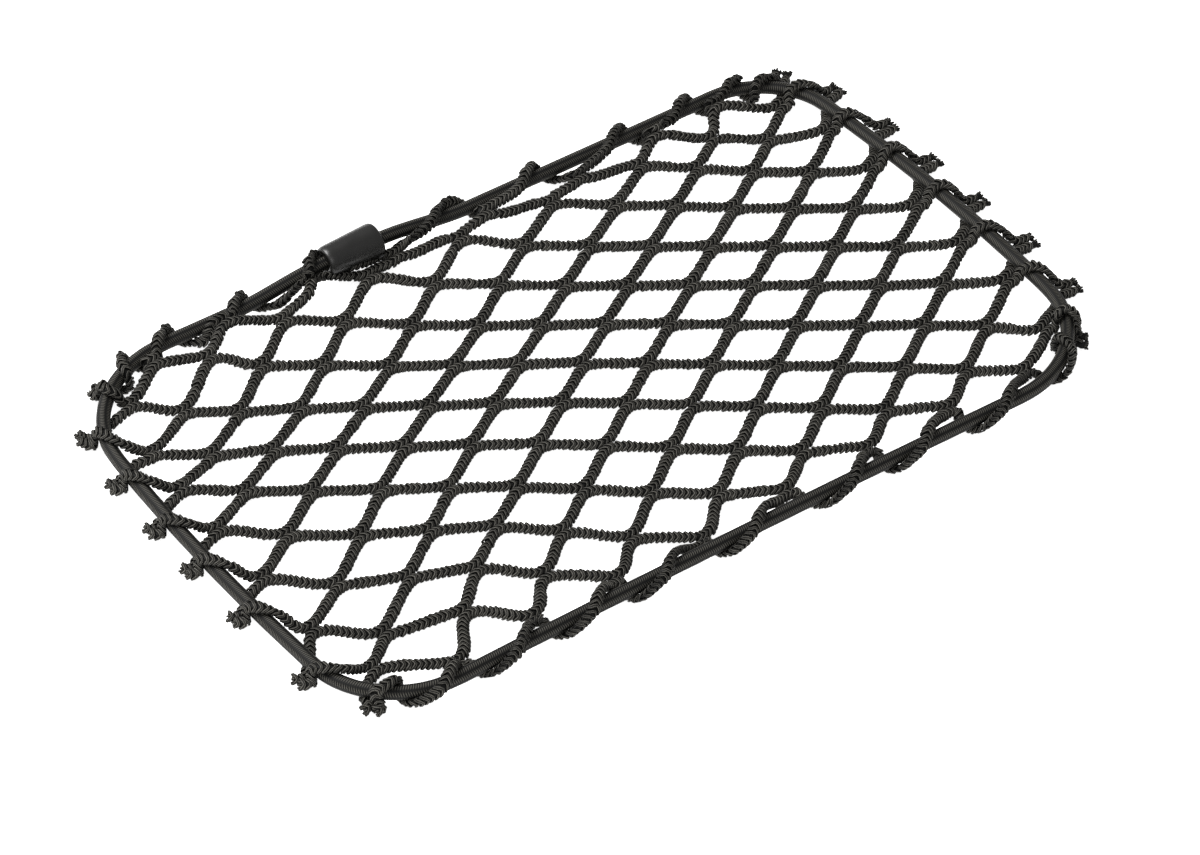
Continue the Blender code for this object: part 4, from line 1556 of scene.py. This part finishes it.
@dataclass
class CordSleeve:
    """Moulded sleeve over the two ends of the elastic cord."""

    rim: Rim
    sides: int = 72
    # samples of the rim on either side of its middle that the sleeve follows
    way_reach: int = 8
    # (distance along the sleeve, radius) round its wall, from the bore at the small end
    wall: tuple[Plan, ...] = (
        (-9.0, 3.1),
        (-11.6, 3.1),
        (-12.15, 3.35),
        (-12.4, 3.9),
        (-12.4, 5.2),
        (-12.25, 5.75),
        (-11.9, 6.15),
        (-11.3, 6.45),
        (-10.2, 6.65),
        (-8.5, 6.76),
        (0.0, 7.2),
        (9.0, 7.62),
        (10.6, 7.68),
        (11.5, 7.6),
        (12.0, 7.35),
        (12.3, 6.9),
        (12.35, 6.0),
        (12.3, 4.2),
        (12.0, 3.5),
        (11.4, 3.1),
        (9.0, 3.1),
    )
    piece: Optional[bpy.types.Object] = None

    def build(self) -> None:
        """Build the turned wall, whose last ring joins its first one in the bore."""
        rim, seat = self.rim, self.rim.seat()
        middle = rim.places[seat].copy()
        middle[0] = rim.sleeve_x
        ahead = rim.places[(seat - self.way_reach) % len(rim.places)]
        behind = rim.places[(seat + self.way_reach) % len(rim.places)]
        way = unit((ahead - behind) * (1.0, 1.0, 0.0))
        side = np.array((way[1], -way[0], 0.0))
        distances, radii = np.array(self.wall).T[..., None]
        angles = np.arange(self.sides) * math.tau / self.sides
        rings = ring_points(middle + way * distances, side, UP, (radii, radii), angles)
        numbers = np.arange(rings.size // 3).reshape(rings.shape[:2])
        following, after = np.roll(numbers, -1, axis=0), np.roll(numbers, -1, axis=1)
        quads = np.stack((numbers, following, np.roll(following, -1, axis=1), after), axis=-1)
        surface = Surface()
        surface.add(rings.reshape(-1, 3), (quads.reshape(-1, 4), np.zeros((numbers.size, 4, 2))))
        self.piece = surface.made("moulded_sleeve", MouldedNylon().material())

    def dress(self) -> None:
        """Join the sleeve to the frame."""
        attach(self.piece, "root")
        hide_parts("cord_ferrule")


@dataclass
class Studio:
    """Light table, soft lights and camera."""

    lens_mm: float = 147.0
    sensor_mm: float = 36.0
    clip: Plan = (0.05, 30.0)
    camera_place: Spot = (-820.98, -1154.76, 1263.67)
    camera_way: Spot = (0.42886, 0.60227, -0.67331)
    # half side of the table top in metres, and its height, just under the stitches
    floor_half: float = 6.0
    floor_height: float = -0.0011
    # (name, place in metres, side in metres, watts), all aimed at the pocket
    lights: tuple[tuple[str, Spot, float, float], ...] = (
        ("back_soft_box", (-0.7, 0.8, 1.3), 0.9, 40.0),
        ("front_fill", (-0.9, -1.3, 1.4), 1.2, 10.0),
    )
    sky_strength: float = 0.45

    def add_floor(self) -> None:
        """Add the table top under the pocket."""
        mesh = bpy.data.meshes.new("table_top")
        half = self.floor_half
        corners = [(-half, -half, 0.0), (half, -half, 0.0), (half, half, 0.0), (-half, half, 0.0)]
        mesh.from_pydata(corners, [], [(0, 1, 2, 3)])
        mesh.materials.append(OpalAcrylic().material())
        floor = placed("table_top", mesh)
        floor.location.z = self.floor_height

    def add_light(self, name: str, place: Spot, size: float, watts: float) -> None:
        """Add a square soft box aimed at the pocket.

        Args:
            name: name of the light.
            place: its place in metres.
            size: side of the square in metres.
            watts: its power.
        """
        light = bpy.data.lights.new(name, "AREA")
        light.shape = "SQUARE"
        light.size = size
        light.energy = watts
        item = placed(name, light)
        item.location = place
        item.rotation_euler = (-Vector(place)).to_track_quat("-Z", "Y").to_euler()

    def add_camera(self) -> None:
        """Add the camera and make it the scene's."""
        camera = bpy.data.cameras.new("camera")
        camera.lens = self.lens_mm
        camera.sensor_width = self.sensor_mm
        camera.clip_start, camera.clip_end = self.clip
        item = placed("camera", camera)
        item.location = Vector(self.camera_place) * MM
        item.rotation_euler = Vector(self.camera_way).to_track_quat("-Z", "Y").to_euler()
        bpy.context.scene.camera = item

    def build(self) -> None:
        """Build the studio."""
        self.add_floor()
        for light in self.lights:
            self.add_light(*light)
        self.add_camera()
        scene = bpy.context.scene
        world = bpy.data.worlds.new("studio_white")
        world.use_nodes = True
        back = world.node_tree.nodes["Background"]
        back.inputs["Color"].default_value = (1.0, 1.0, 1.0, 1.0)
        back.inputs["Strength"].default_value = self.sky_strength
        scene.world = world
        scene.view_settings.view_transform = "Standard"
        # the denoiser would smear the stitches, which are hardly wider than its grain
        scene.cycles.use_denoising = False


def main() -> None:
    logging.basicConfig(level=logging.INFO, format="%(name)s: %(message)s")
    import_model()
    rim = Rim()
    panel = NetPanel(NetLayout(rim))
    cord = ElasticCord(rim)
    sleeve = CordSleeve(rim)
    for part in (cord, panel, sleeve):
        part.build()
        part.dress()
        LOG.info("%s built", type(part).__name__)
    Studio().build()
    bpy.context.view_layer.update()


if __name__ == "__main__":
    main()
